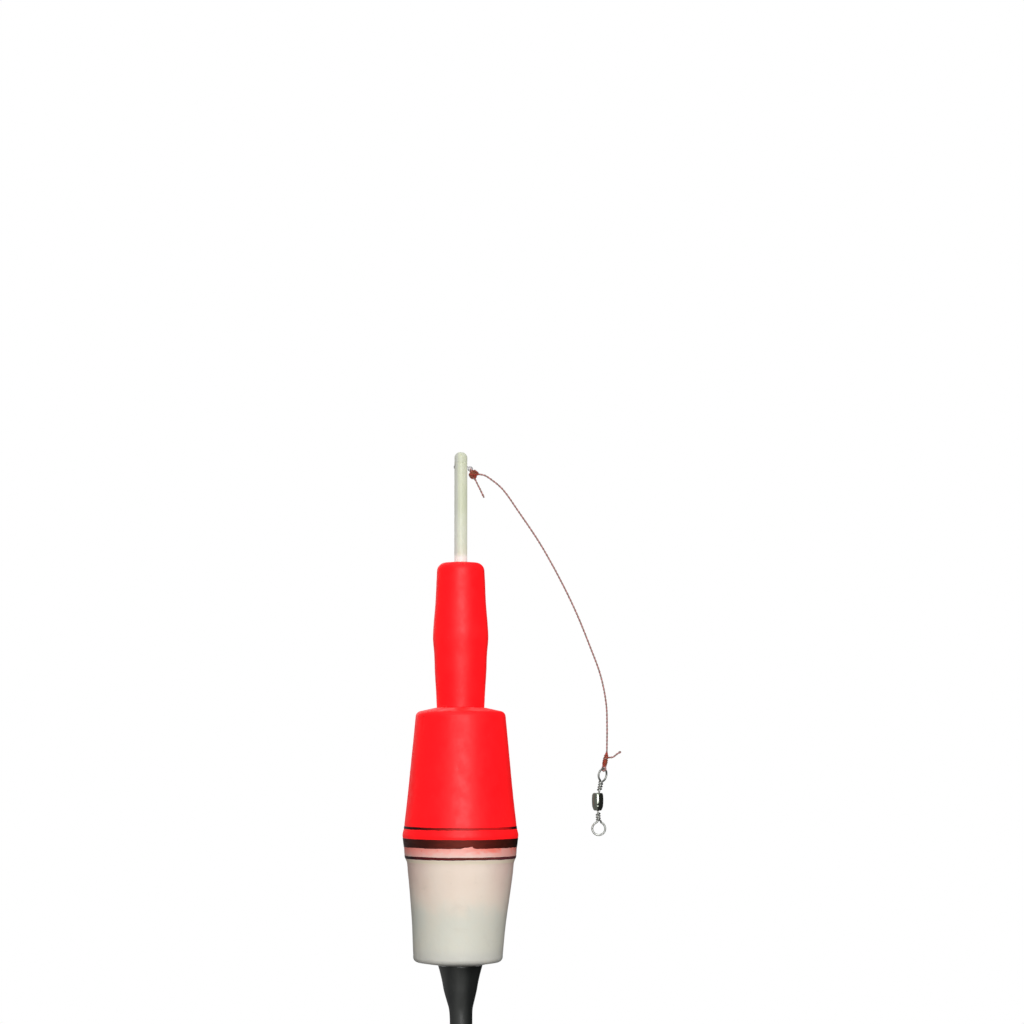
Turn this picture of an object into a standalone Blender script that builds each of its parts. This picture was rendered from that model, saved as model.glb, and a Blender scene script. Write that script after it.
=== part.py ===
"""Bobber float: a slim fishing float with a foam neck and body on a core rod, a
weighted keel stem below, and a short leader with a barrel swivel tied to a wire
eye at the top of the rod.

Frame: +Z runs up the float's own axis, the origin is on that axis at the float's
belt, where the body is widest. The leader hangs on the +X side, in the y = 0
plane. Dimensions below are in millimetres; Blender works in metres.
"""

import math

import bmesh
import bpy
from mathutils import Matrix, Vector

MM = 0.001

# ---------------------------------------------------------------- driving sizes
# core rod
ROD_R = 1.64            # outside radius of the core rod
ROD_BORE_R = 0.95       # the rod is a tube
ROD_TOP_Z = 94.5        # seam with the tip cap
ROD_BOTTOM_Z = -39.5    # inside the keel socket
TIP_Z = 97.2            # top of the domed cap
TIP_DOME = 1.45         # corner radius of the dome
TIP_SPIGOT_R = 0.84
TIP_SPIGOT_Z = 91.4
BORE_R = 1.76           # bore of the foam pieces round the rod

# wire eye near the top of the rod
EYE_Z = 93.4            # height of its shank
EYE_WIRE_R = 0.18
EYE_RING_R = 0.50       # ring radius at the wire's centre
EYE_X = 2.40            # ring centre, just clear of the rod
EYE_HOLE_R = 0.30       # cross hole in rod and cap
EYE_HEAD_R = 0.40       # clinched end on the far side

# neck float
NECK_BOTTOM_Z = 32.57
NECK_TOP_Z = 69.3
NECK_EDGE = 1.8

# body
SHOULDER_Z = 32.45      # top of the upper body, flat under the neck float
SHOULDER_FLAT_R = 6.2
SHOULDER_FALL = 0.85    # then it slopes down by this much to its edge
SHOULDER_R = 11.25
SHOULDER_EDGE = 1.1
BELT_R = 14.58          # widest radius, just above the belt
SEAM_Z = -1.45          # joint face between upper and lower body
BODY_BOTTOM_Z = -31.9   # flat round the keel
BODY_BOTTOM_FLAT_R = 5.9
BODY_BOTTOM_RISE = 0.85  # then it slopes up by this much to its edge
BODY_BOTTOM_R = 11.2
BODY_BOTTOM_EDGE = 1.3

# pinstripes and belt: (top z, bottom z), lying in shallow grooves
STRIPE_UPPER = (2.74, 2.08)
BELT = (-0.22, -2.45)
STRIPE_LOWER = (-4.60, -5.32)
GROOVE_DEPTH = 0.25
BAND_T = 0.17
BAND_PROUD = 0.05
BAND_GAP = 0.07         # between a band's edge and its groove

# keel
KEEL_SPIGOT_R = 4.0
KEEL_SPIGOT_Z = -26.0
KEEL_FLANGE_R = 5.6
KEEL_TOP_Z = -32.05
KEEL_STEM_R = 3.02
KEEL_BORE_R = 2.35
KEEL_BORE_TOP_Z = -46.0
KEEL_END_Z = -87.9
SLUG_R = 2.2
SLUG_Z = (-47.0, -82.0)
PLUG_TIP_Z = -92.0
PLUG_EDGE = 1.5
PLUG_SPIGOT_Z = -83.0

# leader cord
CORD_R = 0.225
LOOP_GAP = 0.06
LOOP_AT_DEG = -60.0     # where the cord's loop sits round the eye's ring

# barrel swivel
SWIVEL_X = 34.53        # axis of the barrel
BARREL_TOP_Z = 11.0
BARREL_BOTTOM_Z = 6.6
BARREL_R = 1.45
BARREL_CAVITY_R = 1.0
BARREL_HOLE_R = 0.74
RING_R = 1.62           # swivel ring radius at the wire's centre
RING_WIRE_R = 0.27
UPPER_RING = (35.77, 15.5)   # centre, x and z
UPPER_RING_TURN = 52.0       # degrees about its own stem
LOWER_RING = (34.80, 2.07)
UPPER_PIVOT_Z = 9.6          # centre of each stem's head inside the barrel
LOWER_PIVOT_Z = 7.95
STEM_R = 0.34
WRAP_R = 0.47
HEAD_R = 0.85
HEAD_HALF = 0.42

ROUND = 32              # steps round the body


# ---------------------------------------------------------------- start clean
for ob in list(bpy.data.objects):
    bpy.data.objects.remove(ob, do_unlink=True)

scene_collection = bpy.context.scene.collection


def material(name, rgb, rough, metal=0.0):
    mat = bpy.data.materials.new(name)
    mat.use_nodes = True
    bsdf = mat.node_tree.nodes["Principled BSDF"]
    bsdf.inputs["Base Color"].default_value = (*rgb, 1.0)
    bsdf.inputs["Roughness"].default_value = rough
    bsdf.inputs["Metallic"].default_value = metal
    mat.diffuse_color = (*rgb, 1.0)
    return mat


RED_FOAM = material("red_foam", (0.80, 0.012, 0.02), 0.55)
WHITE_FOAM = material("white_foam", (0.76, 0.72, 0.66), 0.5)
OFF_WHITE = material("off_white_rod", (0.68, 0.70, 0.55), 0.4)
TAPE = material("dark_tape", (0.05, 0.012, 0.01), 0.45)
BLACK = material("black_keel", (0.03, 0.03, 0.032), 0.3)
LEAD = material("lead", (0.25, 0.25, 0.27), 0.6, 1.0)
WIRE = material("wire", (0.4, 0.38, 0.37), 0.3, 1.0)
NICKEL = material("nickel", (0.45, 0.45, 0.43), 0.22, 1.0)
CORD = material("cord", (0.28, 0.12, 0.10), 0.6)

float_frame = bpy.data.objects.new("float_frame", None)
scene_collection.objects.link(float_frame)


def empty(name, at, parent=float_frame):
    """A joint's frame: an empty at the joint, in millimetres."""
    e = bpy.data.objects.new(name, None)
    e.empty_display_size = 0.003
    scene_collection.objects.link(e)
    e.parent = parent
    e.matrix_world = Matrix.Translation(Vector(at) * MM)
    bpy.context.view_layer.update()
    return e


def place(ob, parent):
    """Parent an object and keep it where it is."""
    bpy.context.view_layer.update()
    world = ob.matrix_world.copy()
    ob.parent = parent
    ob.matrix_parent_inverse = parent.matrix_world.inverted()
    ob.matrix_world = world


def finish_mesh(bm, name, mat, parent=float_frame, matrix=None, smooth=35.0):
    bmesh.ops.remove_doubles(bm, verts=bm.verts, dist=1e-7)
    bmesh.ops.recalc_face_normals(bm, faces=bm.faces)
    mesh = bpy.data.meshes.new(name)
    bm.to_mesh(mesh)
    bm.free()
    mesh.shade_smooth()
    mesh.set_sharp_from_angle(angle=math.radians(smooth))
    mesh.materials.append(mat)
    ob = bpy.data.objects.new(name, mesh)
    scene_collection.objects.link(ob)
    if matrix is not None:
        ob.matrix_world = matrix
    place(ob, parent)
    return ob


def turned_bmesh(outline, steps):
    """Spin a closed outline of (radius, height) points, in mm, about Z."""
    bm = bmesh.new()
    verts = [bm.verts.new((r * MM, 0.0, z * MM)) for r, z in outline]
    on_axis = [r < 1e-9 for r, _ in outline]
    edges = []
    for i in range(len(verts)):
        j = (i + 1) % len(verts)
        if on_axis[i] and on_axis[j]:
            continue
        edges.append(bm.edges.new((verts[i], verts[j])))
    bmesh.ops.spin(
        bm, geom=edges, cent=(0, 0, 0), axis=(0, 0, 1), dvec=(0, 0, 0),
        angle=math.tau, steps=steps, use_merge=False, use_duplicate=False,
    )
    bmesh.ops.remove_doubles(bm, verts=bm.verts, dist=1e-7)
    loose = [e for e in bm.edges if not e.link_faces]
    bmesh.ops.delete(bm, geom=loose, context="EDGES")
    return bm


def turned(name, outline, mat, steps=ROUND, parent=float_frame, matrix=None):
    return finish_mesh(turned_bmesh(outline, steps), name, mat, parent, matrix)


def fillet(corner_before, corner, corner_after, radius, steps=4):
    """Points of an arc that rounds one corner of an outline."""
    a, c, b = Vector(corner_before), Vector(corner), Vector(corner_after)
    u, v = (a - c).normalized(), (b - c).normalized()
    half = u.angle(v) / 2
    reach = radius / math.tan(half)
    centre = c + (u + v).normalized() * (radius / math.sin(half))
    p, q = c + u * reach - centre, c + v * reach - centre
    turn = p.angle(q)
    points = []
    for i in range(steps + 1):
        t = i / steps
        w = (p * math.sin((1 - t) * turn) + q * math.sin(t * turn)) / math.sin(turn)
        points.append(tuple(centre + w))
    return points


def between(stations, z):
    """Radius at height z: a smooth curve through (z, radius) stations."""
    s = sorted(stations)
    if z <= s[0][0]:
        return s[0][1]
    if z >= s[-1][0]:
        return s[-1][1]
    for i in range(len(s) - 1):
        if s[i][0] <= z <= s[i + 1][0]:
            break
    z0, r0 = s[i]
    z1, r1 = s[i + 1]
    m0 = (r1 - s[i - 1][1]) / (z1 - s[i - 1][0]) if i > 0 else (r1 - r0) / (z1 - z0)
    m1 = (s[i + 2][1] - r0) / (s[i + 2][0] - z0) if i + 2 < len(s) else (r1 - r0) / (z1 - z0)
    h = z1 - z0
    t = (z - z0) / h
    return (
        (2 * t**3 - 3 * t**2 + 1) * r0 + (t**3 - 2 * t**2 + t) * h * m0
        + (-2 * t**3 + 3 * t**2) * r1 + (t**3 - t**2) * h * m1
    )


def torus_bmesh(major, minor, around, across):
    """A ring in the XY plane, in mm."""
    bm = bmesh.new()
    verts = []
    for i in range(across):
        a = math.tau * i / across
        verts.append(bm.verts.new(((major + minor * math.cos(a)) * MM, 0.0, minor * math.sin(a) * MM)))
    edges = [bm.edges.new((verts[i], verts[(i + 1) % across])) for i in range(across)]
    bmesh.ops.spin(
        bm, geom=edges, cent=(0, 0, 0), axis=(0, 0, 1), dvec=(0, 0, 0),
        angle=math.tau, steps=around, use_merge=False, use_duplicate=False,
    )
    return bm


def frame_matrix(origin, z_axis, x_axis=None):
    """World matrix, origin in mm, whose Z and X point along the given directions."""
    z = Vector(z_axis).normalized()
    x = Vector(x_axis) if x_axis is not None else Vector((1, 0, 0))
    if abs(x.normalized().dot(z)) > 0.99:
        x = Vector((0, 1, 0))
    x = (x - z * x.dot(z)).normalized()
    y = z.cross(x)
    m = Matrix((x, y, z)).transposed().to_4x4()
    m.translation = Vector(origin) * MM
    return m


def helper(bm, name, matrix=None):
    """A guide for a Boolean, left out of the part itself."""
    ob = finish_mesh(bm, name, WIRE, matrix=matrix)
    ob.hide_render = True
    ob.display_type = "WIRE"
    return ob


def boolean(ob, other, operation):
    m = ob.modifiers.new(operation.lower(), "BOOLEAN")
    m.operation = operation
    m.object = other
    m.solver = "EXACT"


def smooth_route(points, spacing):
    """Evenly spaced points on a smooth curve through the given ones."""
    p = [Vector(q) for q in points]
    p = [p[0] * 2 - p[1]] + p + [p[-1] * 2 - p[-2]]
    fine = []
    for i in range(1, len(p) - 2):
        p0, p1, p2, p3 = p[i - 1], p[i], p[i + 1], p[i + 2]
        # centripetal knots, so that uneven stretches don't overshoot
        t0 = 0.0
        t1 = t0 + (p1 - p0).length ** 0.5
        t2 = t1 + (p2 - p1).length ** 0.5
        t3 = t2 + (p3 - p2).length ** 0.5
        for k in range(24):
            t = t1 + (t2 - t1) * k / 24
            a1 = p0 * ((t1 - t) / (t1 - t0)) + p1 * ((t - t0) / (t1 - t0))
            a2 = p1 * ((t2 - t) / (t2 - t1)) + p2 * ((t - t1) / (t2 - t1))
            a3 = p2 * ((t3 - t) / (t3 - t2)) + p3 * ((t - t2) / (t3 - t2))
            b1 = a1 * ((t2 - t) / (t2 - t0)) + a2 * ((t - t0) / (t2 - t0))
            b2 = a2 * ((t3 - t) / (t3 - t1)) + a3 * ((t - t1) / (t3 - t1))
            fine.append(b1 * ((t2 - t) / (t2 - t1)) + b2 * ((t - t1) / (t2 - t1)))
    fine.append(p[-2])
    total = sum((fine[i + 1] - fine[i]).length for i in range(len(fine) - 1))
    count = max(2, round(total / spacing))
    out, run, k = [fine[0]], 0.0, 0
    for n in range(1, count):
        target = total * n / count
        while run + (fine[k + 1] - fine[k]).length < target:
            run += (fine[k + 1] - fine[k]).length
            k += 1
        seg = (fine[k + 1] - fine[k]).length
        out.append(fine[k].lerp(fine[k + 1], (target - run) / seg))
    out.append(fine[-1])
    return out


def cord_piece(name, points, radius, spacing, parent):
    curve = bpy.data.curves.new(name, "CURVE")
    curve.dimensions = "3D"
    curve.bevel_depth = radius * MM
    curve.bevel_resolution = 2
    curve.use_fill_caps = True
    spline = curve.splines.new("POLY")
    route = smooth_route(points, spacing)
    spline.points.add(len(route) - 1)
    for sp, q in zip(spline.points, route):
        sp.co = (*(q * MM), 1.0)
    curve.materials.append(CORD)
    ob = bpy.data.objects.new(name, curve)
    scene_collection.objects.link(ob)
    place(ob, parent)
    return ob


# ---------------------------------------------------------------- core rod and tip
def cross_drill(name):
    """Cutter for the eye's hole, across the rod along X."""
    return helper(
        turned_bmesh([(0, -3), (EYE_HOLE_R, -3), (EYE_HOLE_R, 3), (0, 3)], 12),
        name, frame_matrix((0, 0, EYE_Z), (1, 0, 0), (0, 1, 0)),
    )


core_rod = turned(
    "core_rod",
    [(ROD_BORE_R, ROD_BOTTOM_Z), (ROD_R, ROD_BOTTOM_Z), (ROD_R, ROD_TOP_Z), (ROD_BORE_R, ROD_TOP_Z)],
    OFF_WHITE, steps=20,
)
boolean(core_rod, cross_drill("rod_drill"), "DIFFERENCE")

cap_seam = ROD_TOP_Z + 0.08
tip_outline = [(0, TIP_SPIGOT_Z), (TIP_SPIGOT_R, TIP_SPIGOT_Z), (TIP_SPIGOT_R, cap_seam), (ROD_R, cap_seam)]
tip_outline += fillet((ROD_R, cap_seam), (ROD_R, TIP_Z), (0, TIP_Z), TIP_DOME, 5)
tip_outline += [(0, TIP_Z)]
rod_tip_cap = turned("rod_tip_cap", tip_outline, OFF_WHITE, steps=20)
boolean(rod_tip_cap, cross_drill("cap_drill"), "DIFFERENCE")

# ---------------------------------------------------------------- wire eye
ring_centre = Vector((EYE_X, 0, EYE_Z - EYE_RING_R))
line_eye = finish_mesh(
    torus_bmesh(EYE_RING_R, EYE_WIRE_R, 18, 8), "line_eye", WIRE,
    matrix=frame_matrix(ring_centre, (0, 1, 0)),
)
shank = helper(
    turned_bmesh(
        [(0, 0.02), (EYE_WIRE_R * 0.97, 0.02), (EYE_WIRE_R * 0.97, EYE_X + ROD_R + 0.1),
         (EYE_HEAD_R, EYE_X + ROD_R + 0.1), (EYE_HEAD_R, EYE_X + ROD_R + 0.28),
         (EYE_HEAD_R - 0.14, EYE_X + ROD_R + 0.42), (0, EYE_X + ROD_R + 0.42)], 12),
    "eye_shank", frame_matrix((EYE_X, 0, EYE_Z), (-1, 0, 0), (0, 1, 0)),
)
boolean(line_eye, shank, "UNION")

# ---------------------------------------------------------------- neck float
NECK = [(NECK_BOTTOM_Z, 6.02), (36.5, 6.2), (41.5, 6.5), (46.0, 6.66), (50.0, 6.99),
        (53.5, 6.84), (58.7, 6.42), (64.5, 6.16), (NECK_TOP_Z, 5.90)]
zs = [NECK_BOTTOM_Z + (NECK_TOP_Z - NECK_EDGE - NECK_BOTTOM_Z) * i / 12 for i in range(13)]
neck_outline = [(BORE_R, NECK_BOTTOM_Z)] + [(between(NECK, z), z) for z in zs[:-1]]
neck_outline += fillet((between(NECK, zs[-2]), zs[-2]), (between(NECK, NECK_TOP_Z), NECK_TOP_Z), (BORE_R, NECK_TOP_Z), NECK_EDGE, 5)
neck_outline += [(BORE_R, NECK_TOP_Z)]
turned("neck_float", neck_outline, RED_FOAM)

# ---------------------------------------------------------------- body
# outside radius of the body by height: two cones that meet at the belt
SKIN = [(29.5, 11.42), (18.4, 12.50), (10.0, 13.34), (3.6, 14.06), (2.3, 14.20), (0.6, BELT_R),
        (-0.6, 14.45), (-2.8, 14.18), (-5.0, 13.98), (-6.4, 13.46), (-9.0, 13.19),
        (-15.0, 12.50), (-22.0, 11.76), (-27.0, 11.40), (-30.0, BODY_BOTTOM_R)]


def skin(z):
    return between(SKIN, z)


def groove(top, bottom):
    """Outline across a band's groove, from its lower edge up."""
    g = BAND_GAP
    return [
        (skin(bottom - g), bottom - g), (skin(bottom - g) - GROOVE_DEPTH, bottom - g),
        (skin(top + g) - GROOVE_DEPTH, top + g), (skin(top + g), top + g),
    ]


upper = [(BORE_R, SEAM_Z + 0.05), (skin(SEAM_Z) - GROOVE_DEPTH, SEAM_Z + 0.05)]
upper += groove(BELT[0], BELT[1])[2:]
upper += [(skin(z), z) for z in (0.2, 0.6, 1.1)]
upper += groove(*STRIPE_UPPER)
upper += [(skin(z), z) for z in (4.2, 7.0, 12.0, 19.0, 25.0)]
upper += fillet((skin(25.0), 25.0), (SHOULDER_R, SHOULDER_Z - SHOULDER_FALL), (SHOULDER_FLAT_R, SHOULDER_Z), SHOULDER_EDGE, 4)
upper += [(SHOULDER_FLAT_R, SHOULDER_Z), (BORE_R, SHOULDER_Z)]
turned("upper_body", upper, RED_FOAM)

lower = [(BORE_R, SEAM_Z - 0.05), (BORE_R, KEEL_SPIGOT_Z + 0.15), (KEEL_SPIGOT_R + 0.12, KEEL_SPIGOT_Z + 0.15),
         (KEEL_SPIGOT_R + 0.12, BODY_BOTTOM_Z), (BODY_BOTTOM_FLAT_R, BODY_BOTTOM_Z)]
lower += fillet((BODY_BOTTOM_FLAT_R, BODY_BOTTOM_Z), (BODY_BOTTOM_R, BODY_BOTTOM_Z + BODY_BOTTOM_RISE),
                (skin(-27.0), -27.0), BODY_BOTTOM_EDGE, 5)
lower += [(skin(z), z) for z in (-27.0, -21.0, -15.0, -10.0, -8.0, -6.4)]
lower += groove(*STRIPE_LOWER)
lower += [(skin(z), z) for z in (-3.8, -3.1)]
lower += groove(BELT[0], BELT[1])[:2]
lower += [(skin(SEAM_Z) - GROOVE_DEPTH, SEAM_Z - 0.05)]
turned("lower_body", lower, WHITE_FOAM)


def band(name, top, bottom):
    inner = BAND_PROUD - BAND_T
    return turned(
        name,
        [(skin(bottom) + inner, bottom), (skin(bottom) + BAND_PROUD, bottom),
         (skin(top) + BAND_PROUD, top), (skin(top) + inner, top)],
        TAPE,
    )


band("stripe_upper", *STRIPE_UPPER)
band("belt_band", *BELT)
band("stripe_lower", *STRIPE_LOWER)

# ---------------------------------------------------------------- keel
KEEL = [(KEEL_TOP_Z, KEEL_FLANGE_R), (-33.8, 5.10), (-36.0, 4.58), (-38.4, 4.14), (-40.7, 3.60),
        (-42.8, 3.12), (-45.0, KEEL_STEM_R), (-60.0, KEEL_STEM_R), (KEEL_END_Z, KEEL_STEM_R)]
outer = [KEEL_TOP_Z, -33.0, -34.3, -36.0, -38.0, -39.8, -41.6, -43.2, -45.0, KEEL_END_Z]
keel_outline = [(BORE_R, -41.5), (BORE_R, KEEL_SPIGOT_Z), (KEEL_SPIGOT_R, KEEL_SPIGOT_Z), (KEEL_SPIGOT_R, KEEL_TOP_Z)]
keel_outline += [(between(KEEL, z), z) for z in outer]
keel_outline += [(KEEL_BORE_R, KEEL_END_Z), (KEEL_BORE_R, KEEL_BORE_TOP_Z), (0, KEEL_BORE_TOP_Z), (0, -41.5)]
turned("keel_stem", keel_outline, BLACK, steps=24)

turned("ballast_slug", [(0, SLUG_Z[1]), (SLUG_R, SLUG_Z[1]), (SLUG_R, SLUG_Z[0]), (0, SLUG_Z[0])], LEAD, steps=16)

plug_seam = KEEL_END_Z - 0.08
plug = [(0, PLUG_TIP_Z)]
plug += fillet((0, PLUG_TIP_Z), (KEEL_STEM_R, PLUG_TIP_Z), (KEEL_STEM_R, plug_seam), PLUG_EDGE, 5)
plug += [(KEEL_STEM_R, plug_seam), (SLUG_R, plug_seam), (SLUG_R, PLUG_SPIGOT_Z), (0, PLUG_SPIGOT_Z)]
turned("keel_end_plug", plug, BLACK, steps=24)

# ---------------------------------------------------------------- leader: top loop and knot
a = math.radians(LOOP_AT_DEG)
out_dir = Vector((math.cos(a), 0, math.sin(a)))          # away from the ring's centre
along = Vector((-math.sin(a), 0, math.cos(a)))           # along the ring's wire
top_loop_at = ring_centre + out_dir * EYE_RING_R
top_loop_r = EYE_WIRE_R + LOOP_GAP + CORD_R

swing = empty("leader_swing_pivot", ring_centre)
turn = empty("leader_turn_pivot", top_loop_at, swing)

finish_mesh(
    torus_bmesh(top_loop_r, CORD_R, 16, 6), "top_loop", CORD, swing,
    frame_matrix(top_loop_at, along),
)


def knot(name, foot, direction, start, length, radius, parent):
    """A snug wrapped knot: a plump barrel along direction, from start to start + length."""
    n = 5
    outline = [(0, start)]
    for i in range(n + 1):
        t = i / n
        z = start + length * t
        outline.append((radius * (0.62 + 0.38 * math.sin(math.pi * t)), z))
    outline += [(0, start + length)]
    return turned(name, outline, CORD, 12, parent, frame_matrix(foot, direction))


TOP_KNOT_START = top_loop_r + CORD_R + 0.06
knot("top_knot", top_loop_at, out_dir, TOP_KNOT_START, 1.45, 1.1, turn)

# the cord's route in the y = 0 plane, as (x, z)
LEADER = [(4.72, 91.55), (6.0, 91.28), (7.45, 90.4), (10.45, 87.9), (14.75, 81.9), (20.15, 73.8),
          (25.2, 64.75), (29.1, 56.7), (32.4, 48.6), (35.35, 40.5), (36.75, 33.3), (36.95, 27.5), (36.88, 21.25)]
leader_cord = cord_piece("leader_cord", [(x, 0, z) for x, z in LEADER], CORD_R, 1.3, turn)
TOP_TAG = [(3.62, 90.3), (4.2, 89.1), (4.95, 87.6), (5.85, 85.7)]
cord_piece("top_tag", [(x, 0, z) for x, z in TOP_TAG], CORD_R, 0.9, turn)

# ---------------------------------------------------------------- swivel
upper_pivot = Vector((SWIVEL_X, 0, UPPER_PIVOT_Z))
upper_centre = Vector((UPPER_RING[0], 0, UPPER_RING[1]))
lower_pivot = Vector((SWIVEL_X, 0, LOWER_PIVOT_Z))
lower_centre = Vector((LOWER_RING[0], 0, LOWER_RING[1]))


def swivel_eye(name, pivot, centre, turn_deg, parent):
    """A ring on a wrapped stem whose head turns inside the barrel."""
    d = (centre - pivot).normalized()
    side = Vector((0, 1, 0)).cross(d)
    t = math.radians(turn_deg)
    tangent = side * math.cos(t) + Vector((0, 1, 0)) * math.sin(t)
    normal = tangent.cross(d)
    eye = finish_mesh(
        torus_bmesh(RING_R, RING_WIRE_R, 22, 8), name, NICKEL, parent,
        frame_matrix(centre, normal, tangent),
    )
    reach = (centre - pivot).length - RING_R + 0.06
    wrap_from = 1.85
    stem = helper(
        turned_bmesh(
            [(0, -HEAD_HALF), (HEAD_R - 0.2, -HEAD_HALF), (HEAD_R, -HEAD_HALF + 0.2), (HEAD_R, HEAD_HALF - 0.2),
             (HEAD_R - 0.2, HEAD_HALF), (STEM_R, HEAD_HALF), (STEM_R, wrap_from), (WRAP_R, wrap_from + 0.1),
             (WRAP_R, reach - 0.15), (WRAP_R - 0.12, reach), (0, reach)], 12),
        name + "_stem", frame_matrix(pivot, d),
    )
    boolean(eye, stem, "UNION")
    return eye, d, tangent


d = (upper_centre - upper_pivot).normalized()
bottom_loop_at = upper_centre + d * RING_R
tilt = empty("swivel_tilt_pivot", bottom_loop_at, turn)
spin = empty("barrel_spin_axis", (SWIVEL_X, 0, (BARREL_TOP_Z + BARREL_BOTTOM_Z) / 2), tilt)
low_spin = empty("lower_eye_spin_axis", (SWIVEL_X, 0, LOWER_PIVOT_Z), spin)

_, _, upper_tangent = swivel_eye("swivel_upper_eye", upper_pivot, upper_centre, UPPER_RING_TURN, tilt)

barrel = [
    (BARREL_HOLE_R, BARREL_BOTTOM_Z), (0.98, BARREL_BOTTOM_Z), (1.16, 6.95), (BARREL_R - 0.04, 7.55), (BARREL_R, 7.8),
    (BARREL_R, 10.55), (BARREL_R - 0.06, 10.8), (BARREL_R - 0.26, BARREL_TOP_Z), (BARREL_HOLE_R, BARREL_TOP_Z),
    (BARREL_HOLE_R, 10.3), (BARREL_CAVITY_R, 10.3), (BARREL_CAVITY_R, 7.35), (BARREL_HOLE_R, 7.35),
]
turned("swivel_barrel", [(r, z - 8.8) for r, z in barrel], NICKEL, 24, spin,
       Matrix.Translation(Vector((SWIVEL_X, 0, 8.8)) * MM))

swivel_eye("swivel_lower_eye", lower_pivot, lower_centre, 0.0, low_spin)

# ---------------------------------------------------------------- leader: bottom loop and knot
bottom_loop_r = RING_WIRE_R + LOOP_GAP + CORD_R
finish_mesh(
    torus_bmesh(bottom_loop_r, CORD_R, 16, 6), "bottom_loop", CORD, turn,
    frame_matrix(bottom_loop_at, upper_tangent),
)
cord_end = Vector((36.88, 0, 21.25))
knot("bottom_knot", bottom_loop_at, cord_end - bottom_loop_at, bottom_loop_r + CORD_R + 0.06,
     (cord_end - bottom_loop_at).length - bottom_loop_r - CORD_R - 0.06 - 0.3, 0.72, turn)
BOTTOM_TAG = [(37.75, 19.9), (38.5, 20.05), (39.4, 20.75), (40.35, 21.35)]
cord_piece("bottom_tag", [(x, 0, z) for x, z in BOTTOM_TAG], CORD_R, 0.8, turn)
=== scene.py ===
import math

import bmesh
import bpy
from mathutils import Matrix, Vector, noise


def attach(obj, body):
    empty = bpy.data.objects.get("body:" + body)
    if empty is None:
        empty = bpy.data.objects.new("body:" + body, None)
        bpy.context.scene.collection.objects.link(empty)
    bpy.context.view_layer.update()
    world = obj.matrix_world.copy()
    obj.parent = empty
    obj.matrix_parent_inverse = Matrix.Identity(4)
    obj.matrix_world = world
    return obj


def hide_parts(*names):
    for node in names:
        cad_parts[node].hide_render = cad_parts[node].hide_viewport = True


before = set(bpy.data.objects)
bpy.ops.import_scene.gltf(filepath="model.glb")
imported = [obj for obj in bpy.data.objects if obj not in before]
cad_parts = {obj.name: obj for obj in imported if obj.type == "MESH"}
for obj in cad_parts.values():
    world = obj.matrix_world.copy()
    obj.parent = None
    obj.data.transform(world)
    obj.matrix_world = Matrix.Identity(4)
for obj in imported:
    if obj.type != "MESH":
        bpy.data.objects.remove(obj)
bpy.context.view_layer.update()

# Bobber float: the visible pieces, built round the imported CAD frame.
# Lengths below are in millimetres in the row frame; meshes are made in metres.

MM = 0.001
scene = bpy.context.scene

# ------------------------------------------------------------------ sizes shared with the CAD
ROD_R, ROD_BORE_R, ROD_TOP_Z, ROD_BOTTOM_Z = 1.64, 0.95, 94.5, -39.5
TIP_Z, TIP_DOME, TIP_SPIGOT_R, TIP_SPIGOT_Z = 97.2, 1.45, 0.84, 91.4
BORE_R = 1.76
EYE_Z, EYE_WIRE_R, EYE_RING_R, EYE_X, EYE_HEAD_R = 93.4, 0.18, 0.50, 2.40, 0.40
NECK_BOTTOM_Z, NECK_TOP_Z, NECK_EDGE = 32.57, 69.3, 1.8
NECK = [(NECK_BOTTOM_Z, 6.02), (36.5, 6.2), (41.5, 6.5), (46.0, 6.66), (50.0, 6.99),
        (53.5, 6.84), (58.7, 6.42), (64.5, 6.16), (NECK_TOP_Z, 5.90)]
SHOULDER_Z, SHOULDER_FLAT_R, SHOULDER_FALL, SHOULDER_R, SHOULDER_EDGE = 32.45, 6.2, 0.85, 11.25, 1.1
SKIN = [(29.5, 11.42), (18.4, 12.50), (10.0, 13.34), (3.6, 14.06), (2.3, 14.20), (0.6, 14.58),
        (-0.6, 14.45), (-2.8, 14.18), (-5.0, 13.98), (-6.4, 13.46), (-9.0, 13.19),
        (-15.0, 12.50), (-22.0, 11.76), (-27.0, 11.40), (-30.0, 11.2)]
SEAM_Z, BODY_BOTTOM_Z, BODY_BOTTOM_FLAT_R, BODY_BOTTOM_RISE, BODY_BOTTOM_R, BODY_BOTTOM_EDGE = -1.45, -31.9, 5.9, 0.85, 11.2, 1.3
STRIPE_UPPER, BELT, STRIPE_LOWER = (2.74, 2.08), (-0.22, -2.45), (-4.60, -5.32)
KEEL_SPIGOT_R, KEEL_SPIGOT_Z, KEEL_TOP_Z, KEEL_STEM_R = 4.0, -26.0, -32.05, 3.02
KEEL_BORE_R, KEEL_BORE_TOP_Z, KEEL_END_Z = 2.35, -46.0, -87.9
KEEL = [(KEEL_TOP_Z, 5.6), (-33.8, 5.10), (-36.0, 4.58), (-38.4, 4.14), (-40.7, 3.60),
        (-42.8, 3.12), (-45.0, KEEL_STEM_R), (-60.0, KEEL_STEM_R), (KEEL_END_Z, KEEL_STEM_R)]
SLUG_R, PLUG_TIP_Z, PLUG_EDGE, PLUG_SPIGOT_Z = 2.2, -92.0, 1.5, -83.0
CORD_R, LOOP_GAP, LOOP_AT_DEG = 0.225, 0.06, -60.0
SWIVEL_X, BARREL_TOP_Z, BARREL_BOTTOM_Z, BARREL_R = 34.53, 11.0, 6.6, 1.45
BARREL_CAVITY_R, BARREL_HOLE_R = 1.0, 0.74
RING_R, RING_WIRE_R = 1.62, 0.27
UPPER_RING, UPPER_RING_TURN, LOWER_RING = (35.77, 15.5), 52.0, (34.80, 2.07)
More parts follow.
